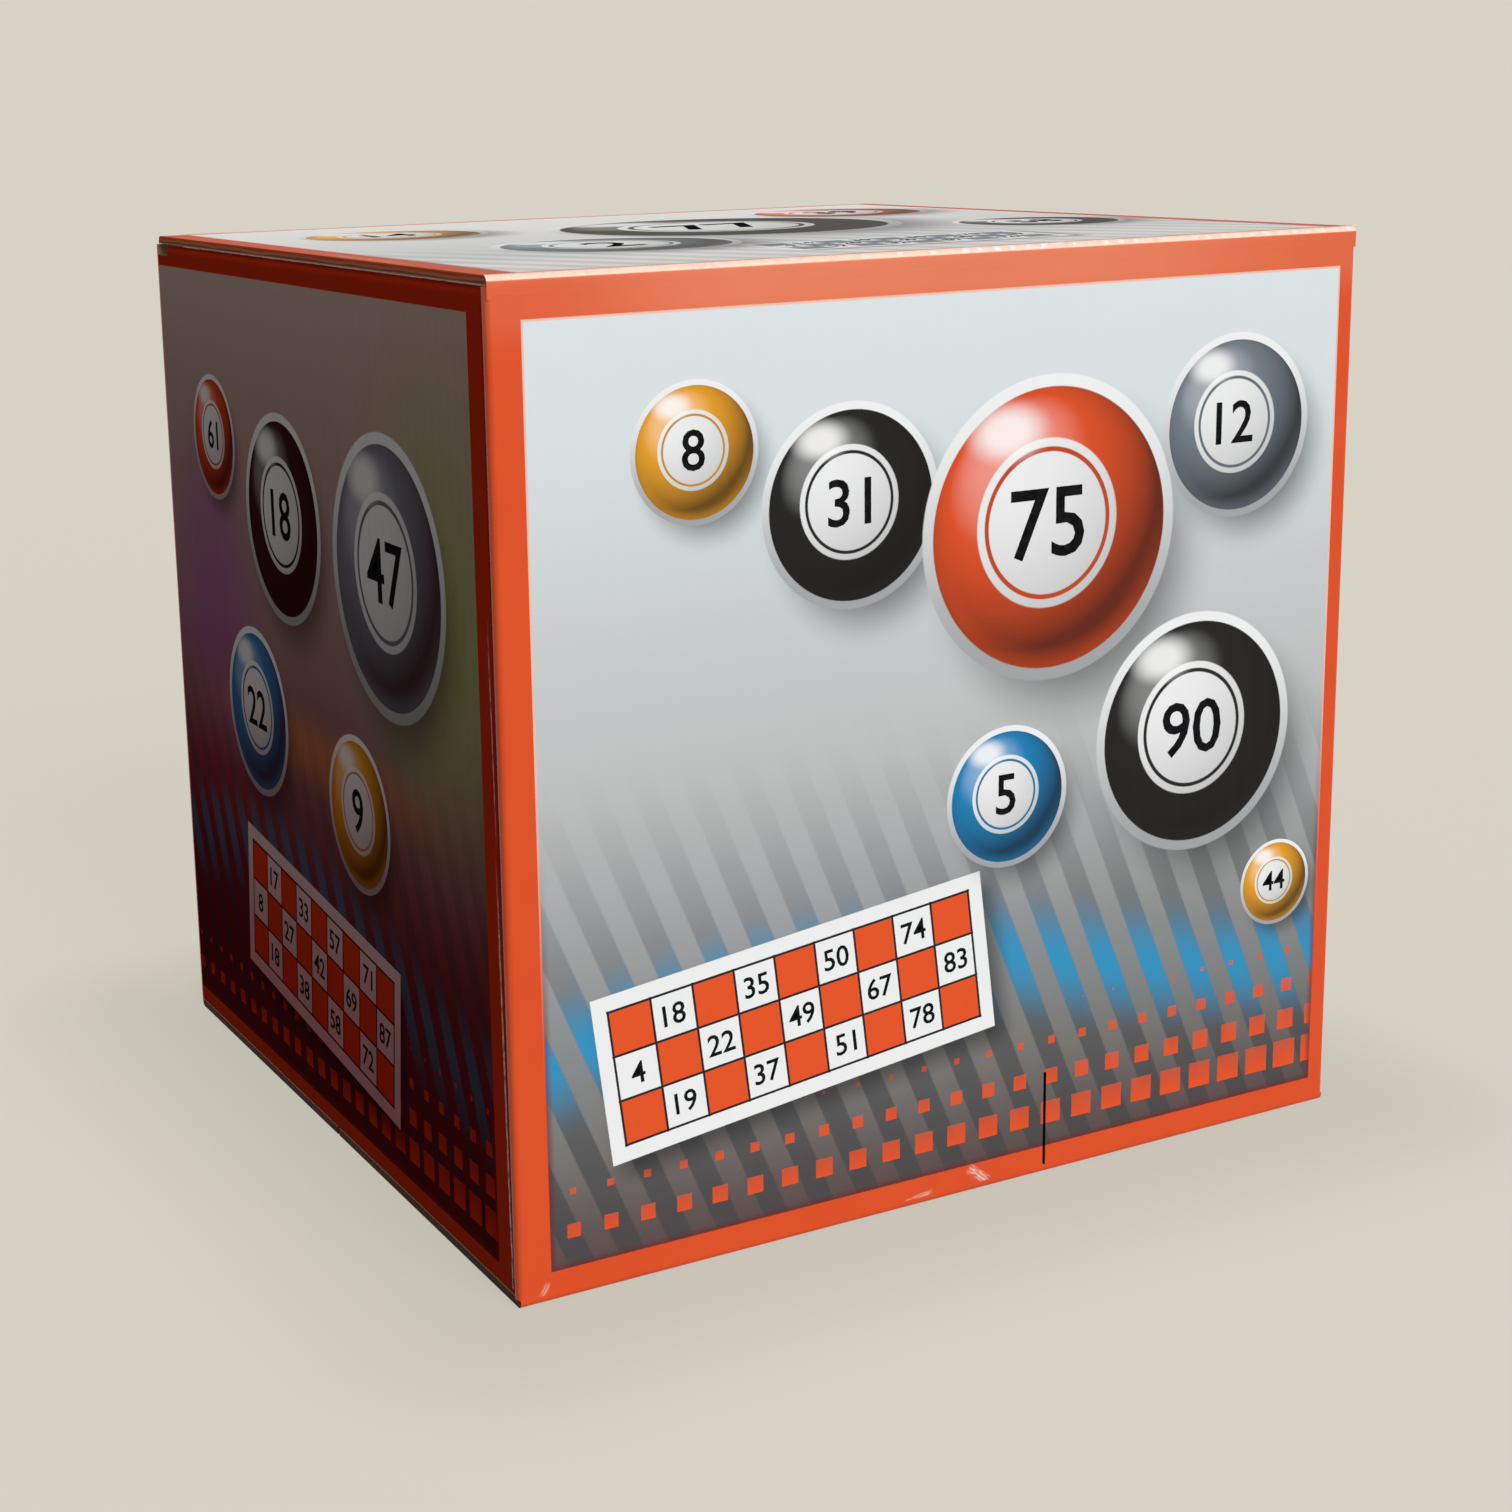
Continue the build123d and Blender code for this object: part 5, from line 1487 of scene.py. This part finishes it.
# White for rays that look at the stage or mirror it, black for those that only carry its light
def seenRays(tree):
    path = tree.nodes.new("ShaderNodeLightPath")
    seen = calc(tree, "MAXIMUM", path.outputs["Is Camera Ray"], path.outputs["Is Glossy Ray"])
    return calc(tree, "MAXIMUM", seen, path.outputs["Is Transmission Ray"])


def makeSun(name, power, size, tilt, turn):
    sun = bpy.data.lights.new(name, "SUN")
    sun.energy = power
    sun.angle = radians(size)
    lamp = putInScene(name, sun)
    lamp.rotation_euler = (radians(tilt), 0, radians(turn))
    return lamp


def makeStage():
    bm = bmesh.new()
    bmesh.ops.create_circle(bm, cap_ends=True, segments=stage["sides"], radius=stage["reach"])
    floorPiece = putInScene("studioFloor", meshOf(bm, "studioFloor"))
    floorPiece.location.z = -stage["sunk"] * mm
    material, tree, shader = newMaterial("floorTone", Roughness=stage["rough"],
                                         Specular_IOR_Level=0.0)
    seen = seenRays(tree)
    beyond = vec(tree, "SUBTRACT", vec(tree, "ABSOLUTE", objectPoint(tree)), (half.x, half.y, 0))
    beyond = vec(tree, "MULTIPLY", vec(tree, "MAXIMUM", beyond, (0, 0, 0)), (1, 1, 0))
    beyond = vec(tree, "LENGTH", beyond)
    # Painted shadow on the floor, darker towards the carton's footprint
    contactShadow = fade(tree, beyond, stage["contactShadowReach"], 0.0, 0.0, stage["contactShadow"])
    tone = tint(tree, contactShadow, stage["tone"], stage["contactShadowTone"])
    plug(tree, shader.inputs["Base Color"], tint(tree, seen, stage["bounce"], tone))
    glow = add(tree, "ShaderNodeEmission", {"Color": tone, "Strength": stage["level"]})
    share = times(tree, seen, stage["lift"])
    mixed = add(tree, "ShaderNodeMixShader", (share, shader.outputs[0], glow.outputs[0]))
    plug(tree, tree.nodes["Material Output"].inputs["Surface"], mixed.outputs[0])
    floorPiece.data.materials.append(material)
    world = bpy.data.worlds.new("studio")
    bpy.context.scene.world = world
    world.use_nodes = True
    tree = world.node_tree
    shade = tree.nodes["Background"]
    seen = seenRays(tree)
    plug(tree, shade.inputs["Color"], tint(tree, seen, (1, 1, 1, 1), stage["tone"]))
    plug(tree, shade.inputs["Strength"], fade(tree, seen, 0.0, 1.0, stage["ambient"], 1.0))
    makeSun("softKey", stage["keyPower"], stage["keySize"], stage["keyTilt"], stage["keyTurn"])
    fill = makeSun("rearFill", stage["fillPower"], stage["keySize"], stage["fillTilt"],
                   stage["fillTurn"])
    fill.data.use_shadow = False
    fill.visible_glossy = False


view = {
    "place": (-0.3207, -0.56237, 0.25654), "heading": -27.31, "pitch": 77.77, "roll": -1.31,
    "lens": 59.14, "sensor": 36, "shift": (0.0899, -0.0767),
}


def makeCamera():
    data = bpy.data.cameras.new("photoCamera")
    data.lens = view["lens"]
    data.sensor_width = view["sensor"]
    data.shift_x, data.shift_y = view["shift"]
    camera = putInScene("photoCamera", data)
    turn = Euler((radians(view["pitch"]), 0, radians(view["heading"]))).to_matrix().to_4x4()
    camera.matrix_world = (Matrix.Translation(view["place"]) @ turn
                           @ Matrix.Rotation(radians(view["roll"]), 4, "Z"))
    bpy.context.scene.camera = camera


makeStage()
makeCamera()
bpy.context.scene.view_settings.view_transform = "Standard"
print("stage and camera set")
